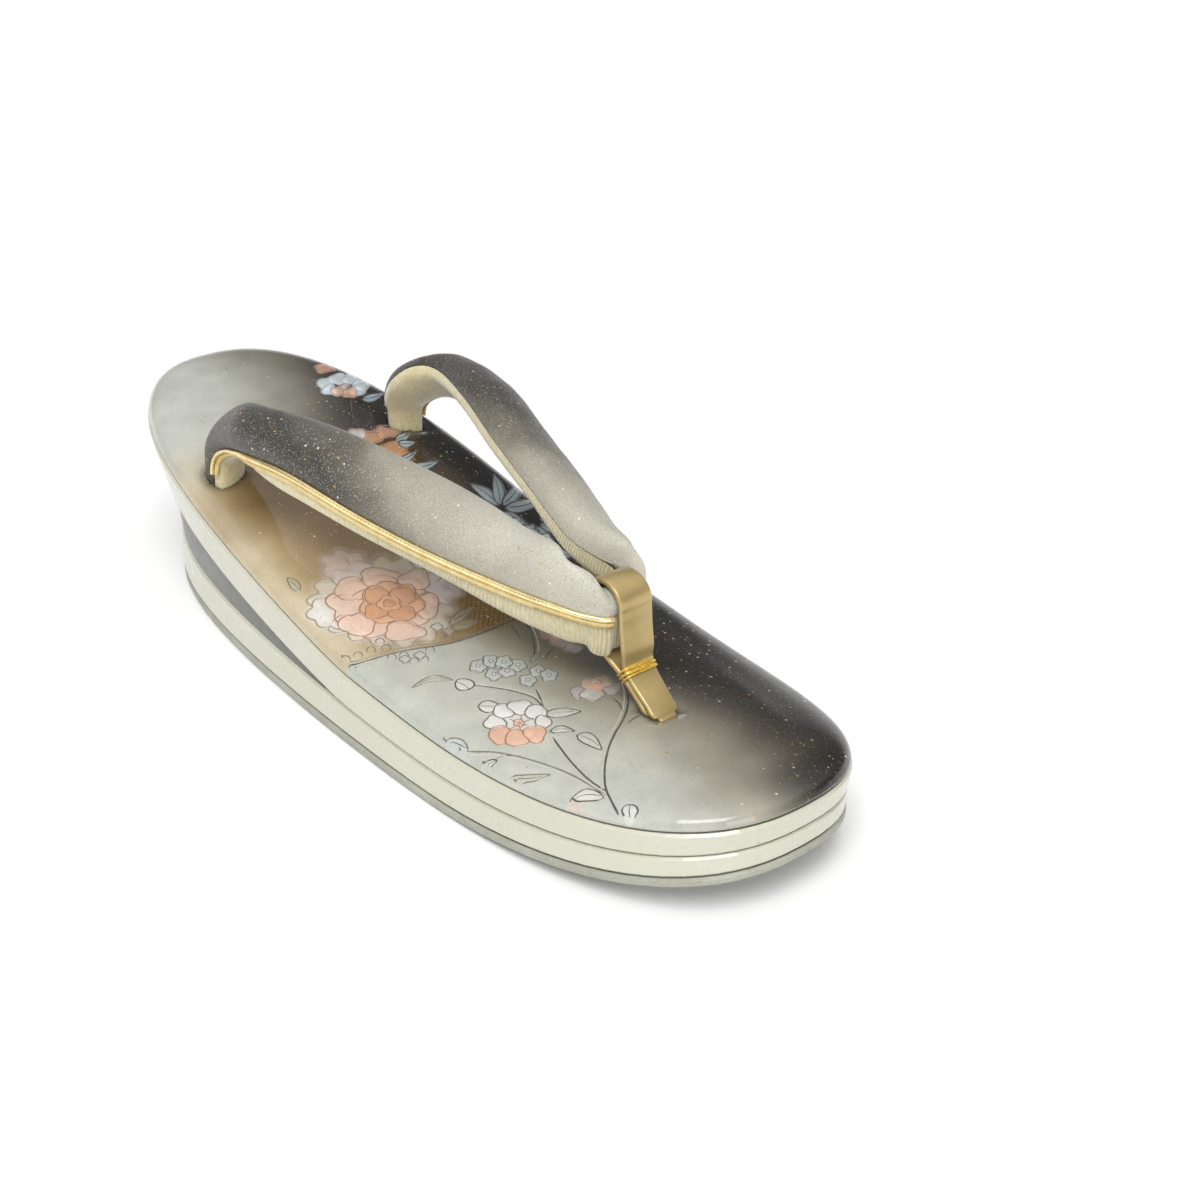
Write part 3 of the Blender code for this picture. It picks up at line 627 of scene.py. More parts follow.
def build_footbed(divide, finish):
    rows, columns = footbed_rows(), footbed_columns()
    half, level = rim(rows, CROWN_RIM_INSET)
    x = (columns[None, :] * half[:, None] + swing(level)[:, None]).ravel()
    y = np.repeat(level, len(columns))
    holes = [slot_outline(STRAP_FRAMES[0], side, SLOT_CLEARANCE) for side in (1, -1)]
    holes.append(post_outline(HOLE_CLEARANCE))
    dent_and_shade = np.zeros(len(x))
    inside = np.zeros(len(x), bool)
    for outline in holes:
        plan = np.array(outline)
        low, high = plan.min(axis=0) - 0.009, plan.max(axis=0) + 0.009
        where = np.where((x > low[0]) & (x < high[0]) & (y > low[1]) & (y < high[1]))[0]
        distance = signed_distance(plan[::4], x[where], y[where])
        inside[where] |= distance > 0
        tree = tree_of(outline)
        dent_and_shade[where] = np.maximum(dent_and_shade[where], np.exp(-(np.maximum(-distance, 0) / 0.0022) ** 2))
        for index, gap in zip(where, distance):
            if -SNAP_REACH < gap <= 0:
                found = tree.find((x[index], y[index], 0.0))[0]
                x[index], y[index] = found.x, found.y
    inset = rim_distance(x, y)
    colour = ground(x, y, inset, divide)
    weave = weave_share(x, y) * smooth(0.62, 0.45, np.abs(colour.mean(axis=1) - 0.1))
    rise = np.zeros(len(x))
    for plan, tint, strength, soft, lift in FILLS:
        low, high = plan.min(axis=0) - soft * 2, plan.max(axis=0) + soft * 2
        where = np.where((x > low[0]) & (x < high[0]) & (y > low[1]) & (y < high[1]))[0]
        if not len(where):
            continue
        distance = signed_distance(plan, x[where], y[where])
        mask = np.clip(0.5 + distance / soft, 0, 1)
        colour[where] = blend(colour[where], np.array(tint), mask * strength)
        weave[where] *= 1 - mask * min(strength * 1.6, 1.0)
        rise[where] += 0.6 * lift * smooth(0, 0.0012, distance)
    samples = [point for plan, _, _, _ in STROKES for point in resample(plan, 0.0003)]
    tree = tree_of(samples)
    near = np.array([tree.find((a, b, 0.0))[2] for a, b in zip(x, y)])
    height = upper_top(y) + CROWN_HEIGHT * crown(inset)
    groove = GROOVE_DEPTH * np.exp(-(near / 0.00045) ** 2)
    height = height + (rise - groove) * smooth(0, 0.002, inset)
    lift = height - upper_top(y) - CROWN_HEIGHT * crown(inset)
    relief = tree_of(list(zip(x, y))), lift
    height = height - DENT_DEPTH * dent_and_shade
    # Painted shade: the footbed's colour darkens round the strap slots and the post hole.
    colour = blend(colour, np.array((0.16, 0.12, 0.09)), dent_and_shade ** 2 * 0.45)
    darkness = 1 - colour.mean(axis=1)
    keep = ~inside
    number = -np.ones(len(x), int)
    number[keep] = np.arange(keep.sum())
    grid = number.reshape(len(rows), len(columns))
    a, b, c, d = grid[:-1, :-1], grid[:-1, 1:], grid[1:, 1:], grid[1:, :-1]
    quads = np.stack((a, b, c, d), axis=-1).reshape(-1, 4)
    quads = quads[(quads >= 0).all(axis=1)]
    points = np.stack((x, y, height), axis=1)[keep]
    mesh = bpy.data.meshes.new("footbed_top")
    mesh.from_pydata(points.tolist(), [], quads.tolist())
    store_colour(mesh, "paint", colour[keep])
    store_value(mesh, "darkness", darkness[keep])
    store_value(mesh, "weave", weave[keep])
    bm = bmesh.new()
    bm.from_mesh(mesh)
    loose = [vert for vert in bm.verts if not vert.link_faces]
    bmesh.ops.delete(bm, geom=loose, context="VERTS")
    edges = [edge for edge in bm.edges if edge.is_boundary]
    outer = [edge for edge in edges if all(RIM.find((*vert.co.xy, 0.0))[2] < 0.0004
                                           for vert in edge.verts)]
    inner = [edge for edge in edges if edge not in set(outer)]
    for inward, foot in ((0.00008, 0.55), (0.0003, 0.05)):
        made = bmesh.ops.extrude_edge_only(bm, edges=outer)["geom"]
        for vert in (item for item in made if isinstance(item, bmesh.types.BMVert)):
            y_here = vert.co.y
            toward = Vector((swing(y_here) - vert.co.x, -0.2 * vert.co.y)).normalized()
            vert.co.x += toward.x * inward
            vert.co.y += toward.y * inward
            vert.co.z = float(upper_top(y_here)) + CROWN_HEIGHT * VALUES[0] * foot
        outer = [item for item in made if isinstance(item, bmesh.types.BMEdge)]
    made = bmesh.ops.extrude_edge_only(bm, edges=inner)["geom"]
    for vert in (item for item in made if isinstance(item, bmesh.types.BMVert)):
        vert.co.z -= WALL_DROP
    bmesh.ops.recalc_face_normals(bm, faces=bm.faces)
    bm.to_mesh(mesh)
    bm.free()
    if mesh.polygons[len(mesh.polygons) // 2].normal.z < 0:
        mesh.flip_normals()
    add_piece("footbed_top", mesh, finish, "footbed")
    return relief


def resample(plan, step):
    run = np.hypot(*np.diff(plan, axis=0).T)
    total = np.concatenate(([0.0], np.cumsum(run)))
    count = max(int(total[-1] / step), 2)
    where = np.linspace(0, total[-1], count + 1)
    return np.stack((np.interp(where, total, plan[:, 0]),
                     np.interp(where, total, plan[:, 1])), axis=1)


def build_lines(relief, finish):
    """The ornament's raised outlines, as thin beads on the footbed's relief."""
    relief_tree, relief_lift = relief
    verts, faces, tints = [], [], []
    blocked = [np.array(slot_outline(STRAP_FRAMES[0], side, LINE_CLEARANCE))[::4]
               for side in (1, -1)]
    blocked.append(np.array(post_outline(LINE_CLEARANCE))[::4])
    for plan, ink, width, under in STROKES:
        points = resample(plan, 0.00045)
        inset = rim_distance(points[:, 0], points[:, 1])
        free = (inset > 0.0006) & within(points[:, 0], points[:, 1])
        for outline in blocked:
            free &= signed_distance(outline, points[:, 0], points[:, 1]) < 0
        low, high = points.min(axis=0), points.max(axis=0)
        for cover, _, strength, _, _ in FILLS[under:]:
            if strength > 0.35 and (cover.max(axis=0) > low).all() \
                    and (cover.min(axis=0) < high).all():
                free &= signed_distance(cover, points[:, 0], points[:, 1]) < 0.0001
        side = beside(points)
        ends = np.minimum(np.arange(len(points)), np.arange(len(points))[::-1]) / 5
        taper = np.clip(0.35 + ends, 0, 1) if np.hypot(*(plan[0] - plan[-1])) > 1e-4 else 1
        half = (width / 2 * taper * np.ones(len(points)))[:, None]
        lifts = np.array([max(relief_lift[found[1]]
                              for found in relief_tree.find_n((a, b, 0.0), 3))
                          for a, b in points])
        lifts = np.convolve(np.pad(lifts, 2, "edge"), np.ones(5) / 5, "valid")
        first = len(verts)
        for share, lift in ((-1, -0.00004), (-0.45, 0.00008), (0.45, 0.00008), (1, -0.00004)):
            spot = points + side * half * share
            z = surface(spot[:, 0], spot[:, 1]) + lifts + lift
            verts += np.stack((spot[:, 0], spot[:, 1], z), axis=1).tolist()
            tints += [ink] * len(points)
        count = len(points)
        for row in range(3):
            for index in range(count - 1):
                if free[index] and free[index + 1]:
                    base = first + row * count + index
                    faces.append((base, base + 1, base + 1 + count, base + count))
    mesh = bpy.data.meshes.new("footbed_lines")
    mesh.from_pydata(verts, [], faces)
    store_colour(mesh, "paint", np.array(tints))
    bm = bmesh.new()
    bm.from_mesh(mesh)
    bmesh.ops.delete(bm, geom=[vert for vert in bm.verts if not vert.link_faces],
                     context="VERTS")
    for face in bm.faces:
        if face.normal.z < 0:
            face.normal_flip()
    bm.to_mesh(mesh)
    bm.free()
    add_piece("footbed_lines", mesh, finish, None)


# Meshes and attributes

def linear(colour):
    colour = np.asarray(colour, float)
    return np.where(colour <= 0.04045, colour / 12.92, ((colour + 0.055) / 1.055) ** 2.4)


def store_colour(mesh, name, colour):
    layer = mesh.attributes.new(name, "FLOAT_COLOR", "POINT")
    values = np.ones((len(mesh.vertices), 4))
    values[:, :3] = linear(np.clip(colour, 0, 1))
    layer.data.foreach_set("color", values.ravel())


def store_value(mesh, name, values):
    layer = mesh.attributes.new(name, "FLOAT", "POINT")
    layer.data.foreach_set("value", np.asarray(values, float))


def add_piece(name, mesh, finish, node, sharp=60):
    mesh.materials.append(finish)
    mesh.shade_smooth()
    mesh.set_sharp_from_angle(angle=math.radians(sharp))
    piece = bpy.data.objects.new(name, mesh)
    bpy.context.scene.collection.objects.link(piece)
    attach(piece, "root")
    if node:
        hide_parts(node)
    return piece


# Straps

def strap_row(row):
    values = dict(zip(STRAP_COLUMNS, row))
    points = []
    for edge in ("inner", "outer"):
        y = values[edge + "_y"] * HALF_LENGTH
        x = -values[edge + "_x"] * HALF_WIDTH
        z = float(upper_top(y)) + values[edge + "_z"] * STRAP_RISE
        points.append(Vector((x, y, z)))
    return points[0], points[1], values["pad"] * PAD_HEIGHT, values["lining"] * LINING_THICKNESS


def strap_sections():
    rows = []
    for row in STRAP_ROWS:
        inner, outer, pad, lining = strap_row(row)
        outer -= (outer - inner).normalized() * EDGE_TUCK
        rows.append((inner, outer, pad, lining))
    rows[0][0].z = rows[0][1].z = float(upper_top(rows[0][0].y)) - STRAP_SEAT
    return list(zip(*(smooth_path(column, STRAP_STEPS) for column in zip(*rows))))


def section_frames(sections):
    middles = [(inner + outer) / 2 for inner, outer, _, _ in sections]
    frames = []
    last = len(sections) - 1
    reach = STRAP_STEPS // 3
    for index, (inner, outer, pad, lining) in enumerate(sections):
        tangent = middles[min(index + reach, last)] - middles[max(index - reach, 0)]
        if index == last:
            tangent = Vector((1.0, 0.0, 0.0))
        across = (outer - inner).normalized()
        normal = across.cross(tangent).normalized()
        frames.append((middles[index], across, normal, (outer - inner).length / 2, pad, lining))
    return frames


def dome(half, height, power):
    points = []
    for index in range(DOME_POINTS + 1):
        angle = math.pi * index / DOME_POINTS
        points.append((half * math.cos(angle), height * abs(math.sin(angle)) ** power))
    return points


def leaned(point):
    nose = STRAP_ROWS[-1][0] * HALF_LENGTH
    slot = STRAP_ROWS[0][0] * HALF_LENGTH
    share = max((point.y - nose) / (slot - nose), 0.0)
    return point + Vector((NOSE_SHIFT + (SLOT_SHIFT - NOSE_SHIFT) * share, 0.0, 0.0))


def pressed(point, share, part):
    """The near arm's pad stands up beside the band, and the far arm's is drawn in."""
    clear = smooth(0.0046, 0.0078, abs(point.x - POST_SHIFT))
    if point.x < 0 and part == "cover":
        crest = math.sin(math.pi * share) ** 0.65 * (0.60 + 0.45 * share)
        point.z += PUFF_RISE * crest * clear * math.exp(-((point.y - PUFF_Y) / PUFF_REACH) ** 2)
    elif point.x > 0:
        hold = math.exp(-((point.y - HOLD_Y) / HOLD_REACH) ** 2) * clear
        point.z -= HOLD_SINK * math.sin(math.pi * share) * hold * (part == "cover")
        point.x -= HOLD_DRAW * smooth(0.7, 0.0, share) * hold
    return point


def downward(frame_row, share):
    """The direction out of the strap's underside, turned toward plumb by the share."""
    _, across, normal, _, _, _ = frame_row
    tangent = normal.cross(across)
    plumb = Vector((0.0, 0.0, -1.0))
    plumb = (plumb - tangent * plumb.dot(tangent)).normalized()
    return (-normal).lerp(plumb, PLUMB_LEAN * share)


def pile_point(frame_row, x, up, share, front):
    """The lining hangs down plumb on the strap's outer side and is thin on the inner."""
    middle, across, normal = frame_row[:3]
    outer = smooth(0.75, 0.0, share)
    deep = up * (1 - front + front * (0.62 + 1.05 * outer))
    return middle + across * x - normal * GAP + downward(frame_row, outer * front) * deep


def plumb_share(index):
    """How far the lining hangs plumb: not at the rear curl, fully further on."""
    return smooth(3.2, 6.0, index / STRAP_STEPS)


def loft(name, verts, count, values, finish, node, sharp):
    """A body through rings of count points each, closed at both ends."""
    faces = []
    for start in range(0, len(verts) - count, count):
        for index in range(count):
            after = (index + 1) % count
            faces.append((start + index, start + after, start + count + after,
                          start + count + index))
    faces += [tuple(range(count)), tuple(range(len(verts) - count, len(verts)))]
    mesh = bpy.data.meshes.new(name)
    mesh.from_pydata(verts, [], faces)
    for label, numbers in values.items():
        store_value(mesh, label, numbers)
    bm = bmesh.new()
    bm.from_mesh(mesh)
    bmesh.ops.recalc_face_normals(bm, faces=bm.faces)
    bm.to_mesh(mesh)
    bm.free()
    return add_piece(name, mesh, finish, node, sharp)


def strap_piece(name, part, finish, node):
    """Cover or lining: up one arm, across the nose and down the other."""
    last = len(STRAP_FRAMES) - 1
    verts, tone, run, ridge = [], [], [], []
    lengths = [0.0]
    for before, after in zip(STRAP_FRAMES, STRAP_FRAMES[1:]):
        lengths.append(lengths[-1] + (after[0] - before[0]).length)
    order = [(index, 1) for index in range(last + 1)]
    order += [(index, -1) for index in range(last - 1, -1, -1)]
    for index, side in order:
        middle, across, normal, half, pad, lining = STRAP_FRAMES[index]
        if part == "cover":
            shape = dome(half, pad, PAD_POWER)
        else:
            shape = dome(half, lining, LINING_POWER)
        for number, (x, up) in enumerate(shape):
            share = number / DOME_POINTS
            if part == "cover":
                point = middle + across * x + normal * up
            else:
                clear = 0.7 + 0.3 * smooth(0.0036, 0.0048, abs((middle + across * x).x))
                point = pile_point(STRAP_FRAMES[index], x, up, share, plumb_share(index) * clear)
            if index == last:
                point.x = 0.0
            if part == "cover":
                deep = abs(up) / max(pad, 1e-6)
                ripple = noise.noise(Vector((point.x * side * 150 + 7 * side, point.y * 150,
                                             point.z * 60)))
                across_ripple = noise.noise(Vector((lengths[index] * 420, share * 2.0,
                                                    3.0 * side)))
                point += normal * deep * (0.00016 * ripple + 0.00007 * across_ripple)
            point.x *= side
            verts.append(tuple(pressed(leaned(point), share, part)))
            tone.append(lengths[index] / lengths[-1] - (0.12 if side < 0 else 0.0))
            run.append(lengths[index] * 1000)
            ridge.append(share)
    values = {"tone": tone, "run": run, "ridge": ridge}
    piece = loft(name, verts, DOME_POINTS + 1, values, finish, node, 60)


def swept(name, rings, runs, finish, node, sharp=50):
    count = len(rings[0])
    verts = [tuple(point) for ring in rings for point in ring]
    values = {"run": [value for value in runs for _ in range(count)]}
    loft(name, verts, count, values, finish, node, sharp)


def edge_trim(label, side, cord_finish, flange_finish):
    """The bright cord and the ribbed strip below it, along one strap's outer edge."""
    cord_rings, strip_rings, runs = [], [], []
    length = 0.0
    before = None
    for index, frame_row in enumerate(STRAP_FRAMES[STRAP_STEPS:], STRAP_STEPS):
        middle, across, normal, half, _, lining = frame_row
        down = downward(frame_row, plumb_share(index))
        offset = CORD_RADIUS + 0.0001
        centre = middle + across * (half + offset) - normal * (GAP / 2)
        if before is not None:
            length += (centre - before).length
        runs.append(length * 1000)
        for rings, shape in ((cord_rings, [(CORD_RADIUS * math.cos(a), CORD_RADIUS * math.sin(a))
                                           for a in np.linspace(0, 2 * math.pi, 15)[:-1]]),
                             (strip_rings, strip_shape(lining))):
            ring = []
            for out, up in shape:
                point = centre + across * out - down * up
                point = leaned(Vector((-side * point.x, point.y, point.z)))
                ring.append(pressed(point, 0.0, "trim"))
            rings.append(ring)
        stop = -(BAND_WIDTH / 2 + 0.0002)
        if centre.x > stop:
            back = (centre.x - stop) / (centre.x - before.x)
            for rings in (cord_rings, strip_rings):
                rings[-1] = [point.lerp(last, back) for point, last in zip(rings[-1], rings[-2])]
            break
        before = centre
    swept("piping_cord_" + label, cord_rings, runs, cord_finish, "piping_" + label)
    swept("piping_strip_" + label, strip_rings, runs, flange_finish, None)


def strip_shape(lining):
    tall = min(0.0012, lining * 0.3)
    return ((-0.00055, -0.00075), (0.00016, -0.00075), (0.00034, -0.00105),
            (0.00026, -0.00065 - tall), (0.0, -0.0009 - tall), (-0.00055, -0.0007 - tall))


# Toe post

def post_axis():
    neck_y = -POST_NECK_FORWARD * HALF_LENGTH
    neck = Vector((POST_SHIFT, neck_y, float(upper_top(neck_y)) + POST_NECK_RISE))
    hole_y = -POST_HOLE_FORWARD * HALF_LENGTH
    hole = Vector((POST_SHIFT, hole_y, float(upper_top(hole_y)) + CROWN_HEIGHT))
    return neck, hole, (hole - neck).normalized()


def post_path(nose):
    neck, hole, down = post_axis()
    rear = Vector((0.0, down.z, -down.y)) * -1
    shift = rear * ((POST_PLY + POST_SLIT) / 2)
    middle, across, normal, half, pad, lining = nose
    reach = 2 * GAP + BAND_PLY / 2
    end = hole + down * POST_SEAT
    arc = []
    for index in range(LOOP_POINTS + 1):
        angle = math.radians(LOOP_START + (LOOP_END - LOOP_START) * index / LOOP_POINTS)
        x = math.cos(angle)
        width = half * (1 + (LOOP_BACK_SHARE if x < 0 else 0.0)) + reach
        up = math.sin(angle)
        height = (pad if up > 0 else lining) + reach
        arc.append(middle + across * (x * width)
                   + normal * (math.copysign(abs(up) ** LOOP_POWER, up) * height))
    foremost = min(range(len(arc)), key=lambda index: arc[index].y)
    front, target = arc[foremost].copy(), neck - shift
    for point in arc[foremost + 1:]:
        share = (front.z - point.z) / (front.z - target.z)
        point.y += 0.9 * (front.y + (target.y - front.y) * share - point.y)
    neck_width = (BAND_WIDTH + HOLE_WIDTH) / 2
    entry = hole.copy()
    while entry.z > max(surface(np.array([entry.x]), np.array([entry.y]))[0], end.z):
        entry += down * 0.0001
    rear_foot, front_foot = (
        [(end + down * 0.0005, HOLE_WIDTH * POST_END)]
        + [(entry + down * (later - rise), HOLE_WIDTH * share) for rise, share in
           ((-0.0001, POST_END), (0.0004, 0.84), (0.0009, 0.94), (0.0018, 1.0), (0.0040, 1.0))]
        + [(neck, neck_width)] for later in (0.0003, 0.0019))
    path = [(point + shift, width, POST_PLY) for point, width in rear_foot]
    path.append(((neck + shift + arc[0]) / 2, BAND_WIDTH, (POST_PLY + BAND_PLY) / 2))
    path += [(point, BAND_WIDTH, BAND_PLY) for point in arc]
    path.append(((neck - shift + arc[-1]) / 2, BAND_WIDTH, (POST_PLY + BAND_PLY) / 2))
    path += [(point - shift, width, POST_PLY) for point, width in reversed(front_foot)]
    return [Vector((point.y, point.z, width, thickness)) for point, width, thickness in path]


def build_post(finish):
    points = smooth_path(post_path(STRAP_FRAMES[-1]), 6)
    rings, runs = [], []
    last = len(points) - 1
    length = 0.0
    for index, point in enumerate(points):
        run = (points[min(index + 1, last)].xy - points[max(index - 1, 0)].xy).normalized()
        if index:
            length += (point.xy - points[index - 1].xy).length
        runs.append(length * 1000)
        half, deep = point.z / 2, point.w / 2
        corner = deep * 0.8
        ring = []
        for side_x, side_out, first in ((1, 1, 0), (-1, 1, 90), (-1, -1, 180), (1, -1, 270)):
            for step in range(5):
                angle = math.radians(first + 22.5 * step)
                x = side_x * (half - corner) + corner * math.cos(angle)
                out = side_out * (deep - corner) + corner * math.sin(angle)
                ring.append(Vector((POST_SHIFT + x, point.x - run.y * out,
                                    point.y + run.x * out)))
        rings.append(ring)
    swept("toe_band", rings, runs, finish, "toe_post", 70)


def build_thread(finish):
    neck, _, down = post_axis()
    rear = Vector((0.0, down.z, -down.y)) * -1
    half_x = (BAND_WIDTH + HOLE_WIDTH) / 4 + 0.00005 + THREAD_RADIUS
    half_y = POST_PLY + POST_SLIT / 2 + 0.0001 + THREAD_RADIUS
    pitch = 2 * THREAD_RADIUS
    steps = 28
    points = []
    for index in range(THREAD_TURNS * steps + 1):
        turn = index / steps
        angle = 2 * math.pi * turn
        stray = 0.00022 * noise.noise(Vector((turn * 2.3, 0.0, 4.0)))
        x = math.copysign(abs(math.cos(angle)) ** 0.35, math.cos(angle)) * (half_x + stray)
        y = math.copysign(abs(math.sin(angle)) ** 0.35, math.sin(angle)) * (half_y + abs(stray))
        drop = pitch * (turn - THREAD_TURNS / 2) + POST_PLY * 0.35
        drop += 0.00030 * math.sin(angle * 0.5 + 0.7) - 0.0006
        points.append(neck + down * drop + rear * y + Vector((x, 0.0, 0.0)))
    curve = bpy.data.curves.new("thread_winding", "CURVE")
    curve.dimensions = "3D"
    curve.bevel_depth = THREAD_RADIUS
    curve.bevel_resolution = 3
    curve.use_fill_caps = True
    spline = curve.splines.new("POLY")
    spline.points.add(len(points) - 1)
    for target, point in zip(spline.points, points):
        target.co = (*point, 1.0)
    curve.materials.append(finish)
    piece = bpy.data.objects.new("thread_winding", curve)
    bpy.context.scene.collection.objects.link(piece)
    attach(piece, "root")
    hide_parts("binding_thread")


# Materials

class Finish:
    """A node material built from short calls."""

    def __init__(self, name, roughness=0.5, metallic=0.0, coat=0.0, coat_roughness=0.03,
                 sheen=0.0, specular=0.5):
        self.made = bpy.data.materials.new(name)
        self.made.use_nodes = True
        self.nodes = self.made.node_tree.nodes
        self.links = self.made.node_tree.links
        self.shader = self.nodes["Principled BSDF"]
        for socket, value in (("Roughness", roughness), ("Metallic", metallic),
                              ("Coat Weight", coat), ("Coat Roughness", coat_roughness),
                              ("Sheen Weight", sheen), ("Specular IOR Level", specular)):
            self.shader.inputs[socket].default_value = value
        self.place = self.nodes.new("ShaderNodeTexCoord").outputs["Object"]

    def node(self, kind, sockets=(), **settings):
        made = self.nodes.new(kind)
        for name, value in settings.items():
            setattr(made, name, value)
        for name, value in dict(sockets).items():
            if isinstance(value, bpy.types.NodeSocket):
                self.links.new(value, made.inputs[name])
            else:
                made.inputs[name].default_value = value
        return made

    def axes(self, vector):
        return self.node("ShaderNodeSeparateXYZ", {"Vector": vector}).outputs

    def noise(self, scale, detail=3.0, place=None):
        return self.node("ShaderNodeTexNoise", {
            "Vector": place or self.place, "Scale": scale, "Detail": detail}).outputs["Fac"]

    def cells(self, scale):
        made = self.node("ShaderNodeTexVoronoi", {"Vector": self.place, "Scale": scale})
        return made.outputs["Distance"], made.outputs["Color"]

    def math(self, operation, first, second=0.0):
        return self.node("ShaderNodeMath", {0: first, 1: second},
                         operation=operation).outputs[0]

    def product(self, first, second):
        return self.math("MULTIPLY", first, second)

    def ramp(self, value, low, high, first=0.0, second=1.0):
        return self.node("ShaderNodeMapRange", {
            "Value": value, "From Min": low, "From Max": high, "To Min": first,
            "To Max": second}).outputs["Result"]

    def mix(self, share, first, second, mode="MIX"):
        made = self.node("ShaderNodeMix", data_type="RGBA", blend_type=mode)
        for index, value in ((0, share), (6, first), (7, second)):
            if isinstance(value, bpy.types.NodeSocket):
                self.links.new(value, made.inputs[index])
            elif index == 0:
                made.inputs[index].default_value = value
            else:
                made.inputs[index].default_value = (*linear(value), 1.0)
        return made.outputs[2]

    def attribute(self, name, colour=False):
        made = self.node("ShaderNodeAttribute", attribute_name=name)
        return made.outputs["Color" if colour else "Fac"]

    def split(self, colour):
        return self.node("ShaderNodeSeparateColor", {"Color": colour}).outputs

    def stretched(self, x, y, z):
        return self.node("ShaderNodeMapping", {"Vector": self.place,
                                               "Scale": (x, y, z)}).outputs["Vector"]

    def bump(self, height, strength, distance, under=None):
        sockets = {"Height": height, "Strength": strength, "Distance": distance}
        if under is not None:
            sockets["Normal"] = under
        return self.node("ShaderNodeBump", sockets).outputs["Normal"]

    def flecks(self, scale, size, share):
        """1 inside small scattered spots, and a random value of each spot."""
        distance, colour = self.cells(scale)
        parts = self.split(colour)
        near = self.math("LESS_THAN", distance, size)
        chosen = self.math("LESS_THAN", parts["Red"], share)
        return self.product(near, chosen), parts["Green"]

    def uneven(self, scale, detail, least, most):
        """A value that wanders between two limits."""
        return self.ramp(self.noise(scale, detail), 0.3, 0.7, least, most)

    def mottle(self, base, other, scale, detail, low=0.3, high=0.7, most=1.0):
        """A colour with another one showing where the noise is strong."""
        return self.mix(self.ramp(self.noise(scale, detail), low, high, 0.0, most), base, other)

    def grit(self, scale, detail, strength, distance, under=None):
        return self.bump(self.noise(scale, detail), strength, distance, under)

    def set(self, **sockets):
        for name, value in sockets.items():
            self.links.new(value, self.shader.inputs[name.replace("_", " ")])
        return self.made


def enamel_finish():
    made = Finish("ivory_enamel_finish", 0.26, coat=0.5, coat_roughness=0.08)
    base = made.mottle((0.785, 0.78, 0.715), (0.765, 0.755, 0.68), 45, 4, 0.35)
    spot = made.flecks(230, 0.085, 0.30)[0]
    base = made.mix(made.product(spot, 0.45), base, (0.66, 0.54, 0.36))
    base = made.mottle(base, (0.62, 0.58, 0.48), 700, 4, 0.64, 0.76, 0.22)
    return made.set(Base_Color=base, Roughness=made.uneven(160, 3, 0.22, 0.34),
                    Normal=made.grit(320, 2, 0.12, 0.00020))


def wedge_finish():
    made = Finish("grey_wedge_finish", 0.42, coat=0.15, coat_roughness=0.2)
    rear = made.ramp(made.axes(made.place)["Y"], 0.0, 0.115)
    base = made.mix(rear, (0.425, 0.425, 0.405), (0.45, 0.46, 0.445))
    base = made.mix(made.ramp(made.noise(700, 4, made.stretched(1, 0.2, 1)), 0.4, 0.7, 0, 0.10),
                    base, (0.36, 0.36, 0.34))
    return made.set(Base_Color=base, Roughness=made.uneven(220, 3, 0.36, 0.5),
                    Normal=made.grit(1400, 3, 0.25, 0.00012))


def outsole_finish():
    made = Finish("outsole_rubber_finish", 0.7)
    base = made.mottle((0.665, 0.67, 0.62), (0.61, 0.61, 0.56), 90, 4, 0.35, 0.65)
    base = made.mottle(base, (0.45, 0.46, 0.41), 1500, 3, 0.55, 0.7, 0.4)
    tread = made.math("SINE", made.product(made.axes(made.place)["Y"], 2 * math.pi / 0.003))
    under = made.axes(made.node("ShaderNodeNewGeometry").outputs["Normal"])["Z"]
    tread = made.product(tread, made.math("LESS_THAN", under, -0.7))
    normal = made.bump(tread, 0.8, 0.0006, made.grit(2200, 3, 0.35, 0.00015))
    return made.set(Base_Color=base, Roughness=made.uneven(300, 3, 0.6, 0.8), Normal=normal)


def footbed_finish():
    made = Finish("glossy_footbed_finish", 0.45, coat=1.0, coat_roughness=0.025,
                  specular=0.12)
    cloud = made.uneven(130, 5, 0.90, 1.08)
    base = made.mix(1.0, made.attribute("paint", True), made.node("ShaderNodeCombineColor", {
        "Red": cloud, "Green": cloud, "Blue": cloud}).outputs[0], "MULTIPLY")
    base = made.mottle(base, (0.50, 0.48, 0.43), 1700, 2, 0.58, 0.70, 0.30)
    turned = made.node("ShaderNodeVectorRotate", {"Vector": made.place, "Angle": 0.72},
                       rotation_type="Z_AXIS").outputs["Vector"]
    parts = made.axes(turned)
    thread = made.math("MINIMUM", *(made.math("ABSOLUTE", made.math("SINE", made.product(
        parts[axis], math.pi / 0.00115))) for axis in ("X", "Y")))
    weave = made.attribute("weave")
    base = made.mix(made.product(weave, 0.45), base, (0.62, 0.48, 0.26))
    dark = made.product(weave, made.ramp(thread, 0.42, 0.18))
    base = made.mix(made.product(dark, 0.75), base, (0.24, 0.17, 0.09))
    share = made.ramp(made.attribute("darkness"), 0.25, 0.9, 0.05, 0.55)
    spot, kind = made.flecks(520, 0.16, share)
    small = made.flecks(1050, 0.15, made.product(share, 0.6))[0]
    gold = made.mix(made.math("GREATER_THAN", kind, 0.62), (0.80, 0.62, 0.32), (0.92, 0.90, 0.84))
    base = made.mix(made.product(spot, 0.85), base, gold)
    base = made.mix(made.product(small, 0.7), base, (0.86, 0.80, 0.66))
    metal = made.product(made.math("MAXIMUM", spot, small), 0.7)
    normal = made.grit(90, 2, 0.20, 0.0005, made.grit(1300, 2, 0.10, 0.00010))
    normal = made.bump(made.product(weave, thread), 0.35, 0.00015, normal)
    return made.set(Base_Color=base, Metallic=metal, Roughness=made.uneven(240, 3, 0.30, 0.44),
                    Normal=normal)


